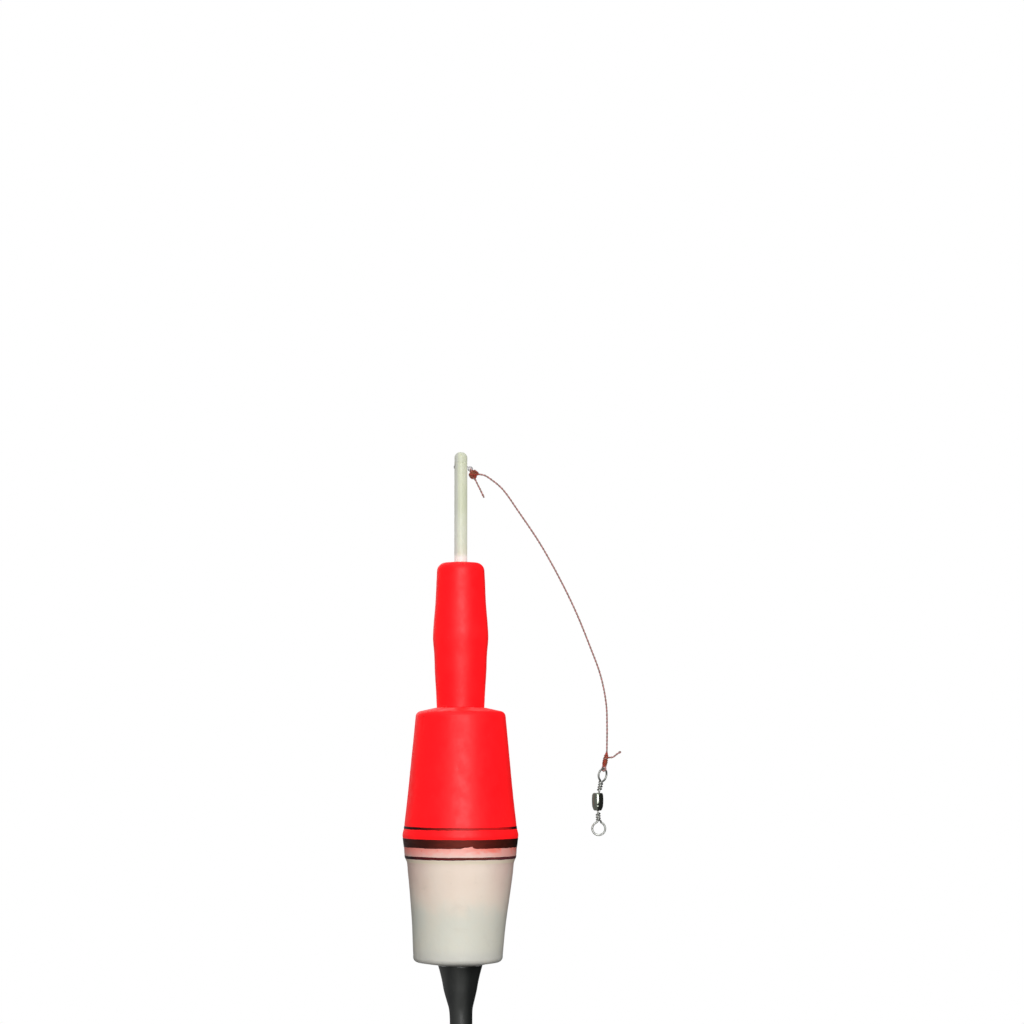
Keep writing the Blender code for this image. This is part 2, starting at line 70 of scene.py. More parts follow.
UPPER_PIVOT_Z, LOWER_PIVOT_Z = 9.6, 7.95
LEADER = [(4.72, 91.55), (6.0, 91.28), (7.45, 90.4), (10.45, 87.9), (14.75, 81.9), (20.15, 73.8),
          (25.2, 64.75), (29.1, 56.7), (32.4, 48.6), (35.35, 40.5), (36.75, 33.3), (36.95, 27.5), (36.88, 21.25)]
TOP_TAG = [(3.62, 90.3), (4.2, 89.1), (4.95, 87.6), (5.85, 85.7)]
BOTTOM_TAG = [(37.75, 19.9), (38.5, 20.05), (39.4, 20.75), (40.35, 21.35)]


# ------------------------------------------------------------------ shape helpers
def between(stations, z):
    """Radius at height z: a smooth curve through (z, radius) stations."""
    s = sorted(stations)
    if z <= s[0][0]:
        return s[0][1]
    if z >= s[-1][0]:
        return s[-1][1]
    for i in range(len(s) - 1):
        if s[i][0] <= z <= s[i + 1][0]:
            break
    z0, r0 = s[i]
    z1, r1 = s[i + 1]
    m0 = (r1 - s[i - 1][1]) / (z1 - s[i - 1][0]) if i > 0 else (r1 - r0) / (z1 - z0)
    m1 = (s[i + 2][1] - r0) / (s[i + 2][0] - z0) if i + 2 < len(s) else (r1 - r0) / (z1 - z0)
    h = z1 - z0
    t = (z - z0) / h
    return ((2 * t**3 - 3 * t**2 + 1) * r0 + (t**3 - 2 * t**2 + t) * h * m0
            + (-2 * t**3 + 3 * t**2) * r1 + (t**3 - t**2) * h * m1)


def skin(z):
    return between(SKIN, z)


def fillet(before, corner, after, radius, steps):
    """Points of an arc that rounds one corner of an outline."""
    a, c, b = Vector(before), Vector(corner), Vector(after)
    u, v = (a - c).normalized(), (b - c).normalized()
    half = u.angle(v) / 2
    reach = radius / math.tan(half)
    centre = c + (u + v).normalized() * (radius / math.sin(half))
    p, q = c + u * reach - centre, c + v * reach - centre
    turn = p.angle(q)
    out = []
    for i in range(steps + 1):
        t = i / steps
        w = (p * math.sin((1 - t) * turn) + q * math.sin(t * turn)) / math.sin(turn)
        out.append(tuple(centre + w))
    return out


def fbm(x, y, z, octaves=3):
    total, amp = 0.0, 1.0
    for _ in range(octaves):
        total += amp * noise.noise(Vector((x, y, z)))
        x, y, z, amp = x * 2.03, y * 2.03, z * 2.03, amp * 0.5
    return total


def smoothstep(a, b, x):
    t = min(1.0, max(0.0, (x - a) / (b - a)))
    return t * t * (3 - 2 * t)


def finish_mesh(name, verts, faces, uvs=None, slots=None, sharp=35.0):
    """A mesh object from points in millimetres."""
    mesh = bpy.data.meshes.new(name)
    mesh.from_pydata([(x * MM, y * MM, z * MM) for x, y, z in verts], [], faces)
    if uvs is not None:
        layer = mesh.uv_layers.new(name="along")
        flat = [c for face in uvs for uv in face for c in uv]
        layer.data.foreach_set("uv", flat)
    if slots is not None:
        mesh.polygons.foreach_set("material_index", slots)
    bm = bmesh.new()
    bm.from_mesh(mesh)
    bmesh.ops.recalc_face_normals(bm, faces=bm.faces)
    bm.to_mesh(mesh)
    bm.free()
    mesh.validate()
    mesh.shade_smooth()
    mesh.set_sharp_from_angle(angle=math.radians(sharp))
    ob = bpy.data.objects.new(name, mesh)
    scene.collection.objects.link(ob)
    return ob


def dense(outline, spacing):
    """The closed outline with long straight stretches cut into short ones."""
    out = []
    for i, p in enumerate(outline):
        q = outline[(i + 1) % len(outline)]
        out.append(p)
        if p[0] < 1e-9 and q[0] < 1e-9:
            continue
        d = math.hypot(q[0] - p[0], q[1] - p[1])
        n = max(1, math.ceil(d / spacing))
        out += [(p[0] + (q[0] - p[0]) * k / n, p[1] + (q[1] - p[1]) * k / n) for k in range(1, n)]
    return out


def lathe(name, outline, steps, shift=None, matrix=None, sharp=35.0):
    """Turns a closed outline of (radius, height) about +Z. shift(angle, radius, height) is added to the radius and height."""
    verts, rows = [], []
    for r, z in outline:
        if r < 1e-9:
            rows.append([len(verts)])
            verts.append((0.0, 0.0, z))
            continue
        row = []
        for k in range(steps):
            a = math.tau * k / steps
            dr, dz = shift(a, r, z) if shift else (0.0, 0.0)
            row.append(len(verts))
            verts.append(((r + dr) * math.cos(a), (r + dr) * math.sin(a), z + dz))
        rows.append(row)
    faces = []
    for i in range(len(rows)):
        a, b = rows[i], rows[(i + 1) % len(rows)]
        if len(a) == 1 and len(b) == 1:
            continue
        for k in range(steps):
            j = (k + 1) % steps
            if len(a) == 1:
                faces.append((a[0], b[k], b[j]))
            elif len(b) == 1:
                faces.append((a[k], b[0], a[j]))
            else:
                faces.append((a[k], b[k], b[j], a[j]))
    if matrix is not None:
        verts = [tuple(matrix @ Vector(v)) for v in verts]
    return finish_mesh(name, verts, faces, sharp=sharp)


def frame_mm(origin, z_axis, x_hint=(1, 0, 0)):
    """A matrix in millimetres whose Z points along z_axis."""
    z = Vector(z_axis).normalized()
    x = Vector(x_hint)
    if abs(x.normalized().dot(z)) > 0.99:
        x = Vector((0, 1, 0))
    x = (x - z * x.dot(z)).normalized()
    m = Matrix((x, z.cross(x), z)).transposed().to_4x4()
    m.translation = Vector(origin)
    return m


def smooth_path(points, spacing):
    """Evenly spaced points on a centripetal curve through the given ones."""
    p = [Vector(q) for q in points]
    p = [p[0] * 2 - p[1]] + p + [p[-1] * 2 - p[-2]]
    fine = []
    for i in range(1, len(p) - 2):
        p0, p1, p2, p3 = p[i - 1], p[i], p[i + 1], p[i + 2]
        t0 = 0.0
        t1 = t0 + (p1 - p0).length ** 0.5
        t2 = t1 + (p2 - p1).length ** 0.5
        t3 = t2 + (p3 - p2).length ** 0.5
        for k in range(24):
            t = t1 + (t2 - t1) * k / 24
            a1 = p0 * ((t1 - t) / (t1 - t0)) + p1 * ((t - t0) / (t1 - t0))
            a2 = p1 * ((t2 - t) / (t2 - t1)) + p2 * ((t - t1) / (t2 - t1))
            a3 = p2 * ((t3 - t) / (t3 - t2)) + p3 * ((t - t2) / (t3 - t2))
            b1 = a1 * ((t2 - t) / (t2 - t0)) + a2 * ((t - t0) / (t2 - t0))
            b2 = a2 * ((t3 - t) / (t3 - t1)) + a3 * ((t - t1) / (t3 - t1))
            fine.append(b1 * ((t2 - t) / (t2 - t1)) + b2 * ((t - t1) / (t2 - t1)))
    fine.append(p[-2])
    return even(fine, spacing)


def even(fine, spacing):
    total = sum((fine[i + 1] - fine[i]).length for i in range(len(fine) - 1))
    count = max(2, round(total / spacing))
    out, run, k = [fine[0]], 0.0, 0
    for n in range(1, count):
        target = total * n / count
        while run + (fine[k + 1] - fine[k]).length < target:
            run += (fine[k + 1] - fine[k]).length
            k += 1
        seg = (fine[k + 1] - fine[k]).length
        out.append(fine[k].lerp(fine[k + 1], (target - run) / seg))
    out.append(fine[-1])
    return out


def carried_frames(path, hint=(0, 1, 0)):
    """(tangent, side, up) along an open path, turned as little as possible."""
    n = len(path)
    out, side = [], None
    for i in range(n):
        t = (path[min(i + 1, n - 1)] - path[max(i - 1, 0)]).normalized()
        if side is None:
            side = Vector(hint)
            if abs(side.dot(t)) > 0.9:
                side = Vector((1, 0, 0))
        side = (side - t * side.dot(t)).normalized()
        out.append((t, side, t.cross(side)))
    return out


class Build:
    """Collects tubes into one mesh, with a UV map that runs along each tube in millimetres."""

    def __init__(self):
        self.verts, self.faces, self.uvs, self.slots = [], [], [], []

    def tube(self, centres, frames, radii, sides, slot=0, closed=False, phase=None, caps=True):
        n = len(centres)
        run, total = [0.0], 0.0
        for i in range(1, n):
            total += (centres[i] - centres[i - 1]).length
            run.append(total)
        rows = []
        for i in range(n):
            _, s, u = frames[i]
            turn = phase[i] if phase else 0.0
            row = []
            for k in range(sides):
                a = math.tau * k / sides + turn
                row.append(len(self.verts))
                self.verts.append(tuple(centres[i] + (s * math.cos(a) + u * math.sin(a)) * radii[i]))
            rows.append(row)
        for i in range(n if closed else n - 1):
            j = (i + 1) % n
            v0 = run[i]
            v1 = run[j] if j else total + (centres[0] - centres[-1]).length
            for k in range(sides):
                m = (k + 1) % sides
                self.faces.append((rows[i][k], rows[i][m], rows[j][m], rows[j][k]))
                self.uvs.append([(k / sides, v0), ((k + 1) / sides, v0), ((k + 1) / sides, v1), (k / sides, v1)])
                self.slots.append(slot)
        if not closed and caps:
            for row, i, way in ((rows[0], 0, -1), (rows[-1], n - 1, 1)):
                t = frames[i][0] * way
                # a rounded end: one smaller ring, then the tip
                mid = []
                for k in range(sides):
                    q = Vector(self.verts[row[k]])
                    mid.append(len(self.verts))
                    self.verts.append(tuple(centres[i] + (q - centres[i]) * 0.7 + t * radii[i] * 0.55))
                tip = len(self.verts)
                self.verts.append(tuple(centres[i] + t * radii[i] * 0.8))
                for k in range(sides):
                    m = (k + 1) % sides
                    f = (row[k], row[m], mid[m], mid[k])
                    g = (mid[k], mid[m], tip)
                    self.faces += [f, g] if way > 0 else [f[::-1], g[::-1]]
                    self.uvs += [[(k / sides, run[i])] * 4, [(k / sides, run[i])] * 3]
                    self.slots += [slot, slot]

    def wire(self, path, radius, sides=16, slot=0, closed=False, hint=(0, 1, 0), radii=None):
        self.tube(path, carried_frames(path, hint), radii or [radius] * len(path), sides, slot, closed)

    def plies(self, path, frames=None, pitch=1.85, closed=False, slots=(0, 1), thick=1.0, phase=0.0, sides=9, fray=0.0, wobble=0.0):
        """Two twisted strands along a path: the cord is 0.45 mm over both."""
        frames = frames or carried_frames(path)
        n = len(path)
        run, total = [0.0], 0.0
        for i in range(1, n):
            total += (path[i] - path[i - 1]).length
            run.append(total)
        whole = total + ((path[0] - path[-1]).length if closed else 0.0)
        if closed:
            pitch = whole / max(1, round(whole / pitch))
        for k in range(2):
            centres, radii, turns = [], [], []
            for i in range(n):
                a = math.tau * run[i] / pitch + math.pi * k + phase
                uneven = 1.0 + wobble * noise.noise(Vector((run[i] * 1.3, 7.1 * k, phase)))
                open_up = 1.0 + fray * smoothstep(whole - 1.2, whole, run[i])
                off = 0.088 * thick * uneven * open_up
                _, s, u = frames[i]
                centres.append(path[i] + (s * math.cos(a) + u * math.sin(a)) * off)
                radii.append(0.156 * thick * (1.0 + 0.5 * wobble * noise.noise(Vector((run[i] * 2.1, 3.7 * k, 5.0)))))
                turns.append(a)
            self.tube(centres, frames, radii, sides, slots[k], closed, turns)

    def fibres(self, path, count, seed, reach=0.3, thin=0.016, slot=0, start=0.0, end=1.0):
        """Loose fibres that stand off the cord."""
        for k in range(count):
            f = (k + 0.5) / count
            h = noise.noise(Vector((seed + k * 1.7, 0.3, 0.9)))
            i = min(len(path) - 2, max(1, int(len(path) * (start + (end - start) * f + 0.02 * h))))
            t = (path[i + 1] - path[i - 1]).normalized()
            d = noise.random_unit_vector() if False else Vector((
                noise.noise(Vector((k * 3.1, seed, 1.0))), noise.noise(Vector((k * 2.3, seed, 2.0))), noise.noise(Vector((k * 1.9, seed, 3.0))))).normalized()
            d = (d - t * d.dot(t)).normalized()
            size = reach * (0.5 + abs(h) * 1.2)
            a = path[i] + d * 0.17
            pts = [a, a + d * size * 0.45 + t * size * 0.2, a + d * size * 0.75 + t * size * 0.6]
            pts = smooth_path(pts, 0.06)
            radii = [thin * (1 - 0.7 * j / (len(pts) - 1)) for j in range(len(pts))]
            self.wire(pts, thin, 4, slot, radii=radii)

    def object(self, name, sharp=50.0):
        return finish_mesh(name, self.verts, self.faces, self.uvs, self.slots, sharp)


def piece(ob, body, node_name, slot_name, *mats):
    """Gives the piece its materials and body, and hides its CAD node. slot_name is not used."""
    for m in mats:
        ob.data.materials.append(m)
    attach(ob, body)
    if node_name:
        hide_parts(node_name)
    return ob


# ------------------------------------------------------------------ material helpers
def srgb(r, g, b):
    def f(c):
        c /= 255.0
        return c / 12.92 if c <= 0.04045 else ((c + 0.055) / 1.055) ** 2.4
    return (f(r), f(g), f(b), 1.0)


class Shade:
    """A material with a Principled shader and short names for its nodes."""

    def __init__(self, name):
        self.mat = bpy.data.materials.new(name)
        self.mat.use_nodes = True
        self.nt = self.mat.node_tree
        self.bsdf = self.nt.nodes["Principled BSDF"]
        coords = self.nt.nodes.new("ShaderNodeTexCoord")
        self.at = coords.outputs["Object"]
        self.uv = coords.outputs["UV"]

    def node(self, kind, inputs=(), **props):
        n = self.nt.nodes.new(kind)
        for k, v in props.items():
            setattr(n, k, v)
        for k, v in dict(inputs).items():
            if isinstance(v, bpy.types.NodeSocket):
                self.nt.links.new(v, n.inputs[k])
            else:
                n.inputs[k].default_value = v
        return n

    def scaled(self, vector, x, y, z):
        return self.node("ShaderNodeMapping", {"Vector": vector, "Scale": (x, y, z)}).outputs[0]

    def noise(self, size, detail=3.0, rough=0.5, vector=None, distortion=0.0):
        """Noise whose blobs are about size millimetres across."""
        return self.node("ShaderNodeTexNoise", {"Vector": vector or self.at, "Scale": 1000.0 / size, "Detail": detail,
                                                "Roughness": rough, "Distortion": distortion}).outputs["Fac"]

    def cells(self, size, feature="F1", vector=None):
        return self.node("ShaderNodeTexVoronoi", {"Vector": vector or self.at, "Scale": 1000.0 / size}, feature=feature).outputs["Distance"]

    def ramp(self, fac, *stops):
        n = self.node("ShaderNodeValToRGB", {"Fac": fac})
        e = n.color_ramp.elements
        e[0].position, e[0].color = stops[0][0], self.rgba(stops[0][1])
        e[1].position, e[1].color = stops[-1][0], self.rgba(stops[-1][1])
        for p, c in stops[1:-1]:
            s = e.new(p)
            s.color = self.rgba(c)
        return n.outputs["Color"]

    @staticmethod
    def rgba(c):
        return (c, c, c, 1.0) if isinstance(c, (int, float)) else c

    def mix(self, fac, a, b, blend="MIX"):
        n = self.node("ShaderNodeMix", data_type="RGBA", blend_type=blend, clamp_factor=True)
        for k, v in ((0, fac), (6, a), (7, b)):
            if isinstance(v, bpy.types.NodeSocket):
                self.nt.links.new(v, n.inputs[k])
            else:
                n.inputs[k].default_value = v
        return n.outputs[2]

    def maths(self, op, a, b=0.0, c=None, clamp=False):
        n = self.node("ShaderNodeMath", operation=op, use_clamp=clamp)
        for k, v in enumerate((a, b) if c is None else (a, b, c)):
            if isinstance(v, bpy.types.NodeSocket):
                self.nt.links.new(v, n.inputs[k])
            else:
                n.inputs[k].default_value = v
        return n.outputs[0]

    def range(self, value, a, b, lo=0.0, hi=1.0, smooth=True):
        return self.node("ShaderNodeMapRange", {"Value": value, "From Min": a, "From Max": b, "To Min": lo, "To Max": hi},
                         interpolation_type="SMOOTHSTEP" if smooth else "LINEAR").outputs["Result"]

    def axes(self):
        n = self.node("ShaderNodeSeparateXYZ", {"Vector": self.at})
        return n.outputs[0], n.outputs[1], n.outputs[2]

    def near(self, point, radius, soft=0.4):
        """1 within radius millimetres of a point, fading to 0 outside."""
        d = self.node("ShaderNodeVectorMath", {0: self.at, 1: tuple(c * MM for c in point)}, operation="DISTANCE").outputs["Value"]
        return self.range(d, radius * MM, radius * (1 - soft) * MM)

    def bump(self, height, depth, strength=1.0, normal=None):
        """Height in millimetres of relief for a change of 1."""
        ins = {"Height": height, "Distance": depth * MM, "Strength": strength}
        if normal is not None:
            ins["Normal"] = normal
        return self.node("ShaderNodeBump", ins).outputs["Normal"]

    def set(self, **values):
        for k, v in values.items():
            socket = self.bsdf.inputs[k.replace("_", " ")]
            if isinstance(v, bpy.types.NodeSocket):
                self.nt.links.new(v, socket)
            else:
                socket.default_value = v
        return self.mat


# ------------------------------------------------------------------ materials
RED_MARKS = [((-0.1, -12.7, 17.4), 0.62), ((3.9, -4.6, 67.1), 0.50), ((3.2, -5.0, 66.2), 0.36), ((-9.0, -6.9, 30.2), 0.50),
             ((1.3, -13.1, 14.2), 0.30), ((-5.6, 12.6, 8.5), 0.55), ((8.6, 9.2, 22.0), 0.42), ((-2.1, 6.4, 55.0), 0.40)]


def red_paint(name, top, bottom):
    """Fluorescent red paint on foam: bright, satin, with fine grain, pits and scuffed edges. Part of its brightness is
    painted light: the paint is given a glow of its own.
    """
    s = Shade(name)
    x, y, z = s.axes()
    broad = s.noise(9.0, 3.0, 0.55)
    fine = s.noise(1.6, 5.0, 0.62)
    colour = s.ramp(broad, (0.25, srgb(246, 9, 20)), (0.55, srgb(253, 11, 22)), (0.8, srgb(255, 19, 24)))
    colour = s.mix(s.range(fine, 0.58, 0.80, 0.0, 0.35), colour, srgb(214, 6, 18))
    # paler scuffs, mostly near the edges
    edge = s.maths("MAXIMUM", s.range(z, (top - 1.5) * MM, (top - 0.3) * MM), s.range(z, (bottom + 1.4) * MM, (bottom + 0.3) * MM))
    scuff = s.noise(2.4, 6.0, 0.7, distortion=0.8)
    scuff = s.range(s.maths("ADD", scuff, s.maths("MULTIPLY", edge, 0.10)), 0.66, 0.76)
    colour = s.mix(s.maths("MULTIPLY", scuff, 0.45), colour, srgb(255, 92, 84))
    # small dark specks in the paint
    specks = s.range(s.cells(5.5), 0.050, 0.030)
    specks = s.maths("MULTIPLY", specks, s.range(s.noise(14.0, 1.0), 0.50, 0.60))
    colour = s.mix(s.maths("MULTIPLY", specks, 0.75), colour, srgb(120, 14, 16))
    pits = None
    for point, size in RED_MARKS:
        m = s.near(point, size, 0.75)
        pits = m if pits is None else s.maths("MAXIMUM", pits, m)
    colour = s.mix(s.maths("MULTIPLY", pits, 0.62), colour, srgb(150, 12, 20))
    # painted light: the paint gives off a glow of its own, which keeps its shaded sides bright red; the glow is dimmer
    # in the pits and specks
    glow = s.mix(s.maths("MAXIMUM", s.maths("MULTIPLY", pits, 0.5), s.maths("MULTIPLY", specks, 0.6)), srgb(255, 12, 18), srgb(90, 4, 8))
    rough = s.range(s.noise(3.2, 5.0, 0.65), 0.3, 0.7, 0.44, 0.58)
    rough = s.maths("ADD", rough, s.maths("MULTIPLY", scuff, 0.10))
    n = s.bump(s.cells(0.85, "SMOOTH_F1"), 0.012, 0.55)
    n = s.bump(s.noise(0.34, 4.0, 0.6), 0.007, 0.55, n)
    n = s.bump(s.noise(4.5, 2.0, 0.5), 0.05, 0.6, n)
    return s.set(Base_Color=colour, Roughness=rough, Normal=n, Specular_IOR_Level=0.33,
                 Emission_Color=glow, Emission_Strength=0.42)


def white_paint():
    """Cream white paint on foam, with the red overspray that crept under the belt."""
    s = Shade("white_paint")
    x, y, z = s.axes()
    broad = s.noise(10.0, 3.0, 0.5)
    warm = s.ramp(broad, (0.3, srgb(242, 227, 212)), (0.7, srgb(237, 220, 203)))
    cool = s.ramp(broad, (0.3, srgb(217, 217, 205)), (0.7, srgb(221, 217, 202)))
    colour = s.mix(s.range(s.maths("ADD", z, s.maths("MULTIPLY", s.maths("SUBTRACT", broad, 0.5), 0.012)), -12.0 * MM, -22.0 * MM), warm, cool)
    # painted shade: greyer towards the foot, where the body turns downward
    colour = s.mix(s.range(z, -26.5 * MM, -30.5 * MM, 0.0, 0.75), colour, srgb(206, 205, 198))
    # faint yellowed and greyed patches
    colour = s.mix(s.range(s.noise(5.0, 5.0, 0.6, distortion=0.6), 0.55, 0.75, 0.0, 0.20), colour, srgb(198, 189, 172))
    # pink haze of overspray, stronger on the two sides
    haze = s.range(s.maths("ADD", z, s.maths("MULTIPLY", s.maths("SUBTRACT", s.noise(7.0, 3.0), 0.5), 0.012)), -20.0 * MM, -5.5 * MM, 0.0, 0.36)
    side = s.range(s.maths("ABSOLUTE", x), 5.0 * MM, 13.0 * MM, 0.15, 1.0)
    colour = s.mix(s.maths("MULTIPLY", haze, side), colour, srgb(218, 156, 152))
    # the band between belt and lower stripe: salmon at the top, pale pink below, patchy
    patch = s.noise(2.6, 5.0, 0.62, vector=s.scaled(s.at, 1.0, 1.0, 2.2), distortion=0.4)
    creep = s.maths("ADD", z, s.maths("MULTIPLY", s.maths("SUBTRACT", patch, 0.5), 0.0030))
    pink = s.range(creep, -5.1 * MM, -4.4 * MM)
    salmon = s.range(creep, -4.35 * MM, -2.65 * MM)
    around = s.maths("ADD", x, s.maths("MULTIPLY", s.maths("SUBTRACT", s.noise(3.5, 3.0), 0.5), 0.004))
    heavy = s.ramp(s.range(around, -14.0 * MM, 14.0 * MM, smooth=False), (0.0, 0.95), (0.10, 0.62), (0.30, 0.62), (0.48, 0.40), (0.62, 0.60),
                   (0.74, 1.0), (0.86, 0.95), (0.905, 0.10), (0.935, 0.12), (0.97, 0.85))
    blush = s.mix(s.range(s.maths("ABSOLUTE", x), 5.0 * MM, 12.5 * MM, 0.0, 0.85), srgb(246, 198, 189), srgb(242, 158, 148))
    colour = s.mix(s.maths("MULTIPLY", pink, 0.90), colour, blush)
    colour = s.mix(s.maths("MULTIPLY", salmon, heavy), colour, srgb(255, 132, 116))
    colour = s.mix(s.maths("MULTIPLY", s.range(s.noise(1.1, 4.0, 0.6), 0.60, 0.68), s.maths("MULTIPLY", salmon, 0.4)), colour, srgb(240, 100, 88))
    # painted highlight: a pale cream line just under the lower stripe
    painted_highlight_line = s.maths("MULTIPLY", s.range(z, -6.45 * MM, -6.0 * MM), s.range(z, -5.36 * MM, -5.62 * MM))
    colour = s.mix(s.maths("MULTIPLY", painted_highlight_line, 0.60), colour, srgb(246, 234, 204))
    specks = s.maths("MULTIPLY", s.range(s.cells(4.6), 0.045, 0.026), s.range(s.noise(12.0, 1.0), 0.48, 0.60))
    colour = s.mix(s.maths("MULTIPLY", specks, 0.6), colour, srgb(126, 112, 98))
    # darker and greyer in patches round the bottom edge
    dark_patches = s.maths("MULTIPLY", s.range(z, -28.5 * MM, -31.4 * MM), s.range(s.noise(3.0, 5.0, 0.65), 0.38, 0.66))
    colour = s.mix(s.maths("MULTIPLY", dark_patches, 0.22), colour, srgb(168, 164, 154))
    rough = s.range(s.noise(3.0, 5.0, 0.65), 0.3, 0.7, 0.42, 0.56)
    n = s.bump(s.cells(0.9, "SMOOTH_F1"), 0.010, 0.5)
    n = s.bump(s.noise(0.36, 4.0, 0.6), 0.006, 0.5, n)
    n = s.bump(s.noise(4.8, 2.0, 0.5), 0.045, 0.6, n)
    return s.set(Base_Color=colour, Roughness=rough, Normal=n, Specular_IOR_Level=0.40,
                 Subsurface_Weight=0.06, Subsurface_Radius=(0.0012, 0.0009, 0.0007), Subsurface_Scale=1.0)


def band_paint(name, *around):
    """Brushed-on dark band. around gives (x in mm, colour) pairs across the front. They are partly the band's own tone,
    nearly black where the coat is thick and reddish where it has worn thin, and partly painted light: lighter across
    the middle of the front, darker towards the two sides.
    """
    s = Shade(name)
    x, y, z = s.axes()
    streak = s.noise(1.2, 5.0, 0.65, vector=s.scaled(s.at, 0.35, 0.35, 1.6))
    patch = s.noise(4.0, 3.0, 0.55)
    across = s.maths("ADD", x, s.maths("MULTIPLY", s.maths("SUBTRACT", patch, 0.5), 0.005))
    colour = s.ramp(s.range(across, -15.0 * MM, 15.0 * MM, smooth=False), *[((at + 15.0) / 30.0, c) for at, c in around])
    colour = s.mix(s.range(streak, 0.35, 0.72, 0.0, 0.40), colour, srgb(24, 9, 8))
    rough = s.range(streak, 0.3, 0.75, 0.42, 0.60)
    n = s.bump(streak, 0.02, 0.6)
    n = s.bump(s.noise(0.3, 3.0, 0.6), 0.006, 0.5, n)
    return s.set(Base_Color=colour, Roughness=rough, Normal=n, Specular_IOR_Level=0.14)


def rod_plastic(name, tint, cap=False):
    """Off-white tube, slightly see-through, faintly green."""
    s = Shade(name)
    x, y, z = s.axes()
    lines = s.noise(0.8, 4.0, 0.6, vector=s.scaled(s.at, 1.0, 1.0, 0.03))
    broad = s.noise(7.0, 3.0, 0.5)
    colour = s.ramp(broad, (0.3, tint), (0.7, tuple(c * f for c, f in zip(tint[:3], (0.93, 0.95, 0.90))) + (1.0,)))
    colour = s.mix(s.range(lines, 0.52, 0.74, 0.0, 0.16), colour, srgb(196, 197, 172))
    # painted shade: the left side is greyer and darker; painted highlight: the rod whitens towards the neck, strongly
    # just above it
    left_shade = s.range(s.maths("ADD", x, s.maths("MULTIPLY", s.maths("SUBTRACT", lines, 0.5), 0.0006)), -0.45 * MM, -0.95 * MM)
    colour = s.mix(s.maths("MULTIPLY", left_shade, 0.75), colour, srgb(212, 213, 206))
    painted_highlight_band = s.maths("ADD", s.range(z, 84.0 * MM, 77.0 * MM, 0.0, 0.22), s.range(z, 71.6 * MM, 70.2 * MM, 0.0, 0.7))
    colour = s.mix(painted_highlight_band, colour, srgb(255, 255, 250))
    # the glue and rust stain round the wire's clinched end, and round the eye
    stain = s.maths("MAXIMUM", s.near((-1.75, -0.3, 93.9), 1.3, 0.85), s.near((1.7, 0.0, 93.3), 0.8, 0.8))
    stain = s.maths("MULTIPLY", stain, s.range(s.noise(0.7, 4.0, 0.6), 0.28, 0.56))
    colour = s.mix(s.maths("MULTIPLY", stain, 0.62), colour, srgb(122, 116, 92))
    # red paint that climbed from the neck
    bleed = s.range(s.maths("ADD", z, s.maths("MULTIPLY", s.maths("SUBTRACT", s.noise(1.5, 3.0), 0.5), 0.001)), 69.5 * MM, 69.1 * MM)
    colour = s.mix(s.maths("MULTIPLY", bleed, 0.5), colour, srgb(240, 130, 120))
    dark_patches = s.range(s.noise(2.2, 6.0, 0.7), 0.62, 0.78)
    colour = s.mix(s.maths("MULTIPLY", dark_patches, 0.16), colour, srgb(172, 168, 144))
    rough = s.range(s.noise(1.8, 4.0, 0.6), 0.3, 0.7, 0.30, 0.46)
    n = s.bump(lines, 0.012, 0.5)
    n = s.bump(s.noise(0.45, 4.0, 0.6), 0.005, 0.5, n)
    # the wall is thin and lets light through; this is painted light: the rod is given a glow of its own, which evens
    # out its shading
    body = s.mix(1.0, colour, (0.50, 0.50, 0.50, 1.0), "MULTIPLY")
    return s.set(Base_Color=body, Roughness=rough, Normal=n, Specular_IOR_Level=0.30, Emission_Color=colour, Emission_Strength=0.37,
                 Subsurface_Weight=0.30, Subsurface_Radius=(0.0022, 0.0021, 0.0014), Subsurface_Scale=1.0)


def black_plastic(name):
    """Moulded black plastic: semi-gloss, faint flow marks, dust and fine scratches."""
    s = Shade(name)
    x, y, z = s.axes()
    flow = s.noise(3.0, 4.0, 0.6, vector=s.scaled(s.at, 1.0, 1.0, 0.18))
    colour = s.ramp(flow, (0.3, (0.0105, 0.0118, 0.0113, 1.0)), (0.72, (0.0175, 0.0192, 0.0186, 1.0)))
    dust = s.range(s.noise(0.9, 6.0, 0.72), 0.60, 0.80)
    colour = s.mix(s.maths("MULTIPLY", dust, 0.16), colour, srgb(128, 126, 118))
    scratch = s.noise(1.0, 3.0, 0.5, vector=s.scaled(s.at, 7.0, 7.0, 0.35))
    scratch = s.range(scratch, 0.66, 0.72)
    colour = s.mix(s.maths("MULTIPLY", scratch, 0.22), colour, srgb(96, 96, 92))
    # painted highlights: paler along the front, and at the left of the flared head
    wander = s.maths("ADD", x, s.maths("MULTIPLY", s.maths("SUBTRACT", flow, 0.5), 0.0022))
    front_highlight = s.maths("MULTIPLY", s.range(s.maths("ABSOLUTE", wander), 2.6 * MM, 0.5 * MM), s.range(y, 0.5 * MM, -2.0 * MM))
    left = s.maths("MULTIPLY", s.range(wander, -2.2 * MM, -4.2 * MM), s.range(z, -44.0 * MM, -34.0 * MM))
    colour = s.mix(s.maths("MULTIPLY", s.maths("MAXIMUM", front_highlight, left), 0.80), colour, (0.046, 0.048, 0.0455, 1.0))
    rough = s.maths("ADD", s.range(s.noise(2.6, 5.0, 0.6), 0.3, 0.7, 0.32, 0.44), s.maths("MULTIPLY", dust, 0.14))
    n = s.bump(flow, 0.03, 0.6)
    n = s.bump(s.noise(0.5, 3.0, 0.6), 0.004, 0.5, n)
    n = s.bump(scratch, -0.006, 0.6, n)
    return s.set(Base_Color=colour, Roughness=rough, Normal=n, Specular_IOR_Level=0.5)


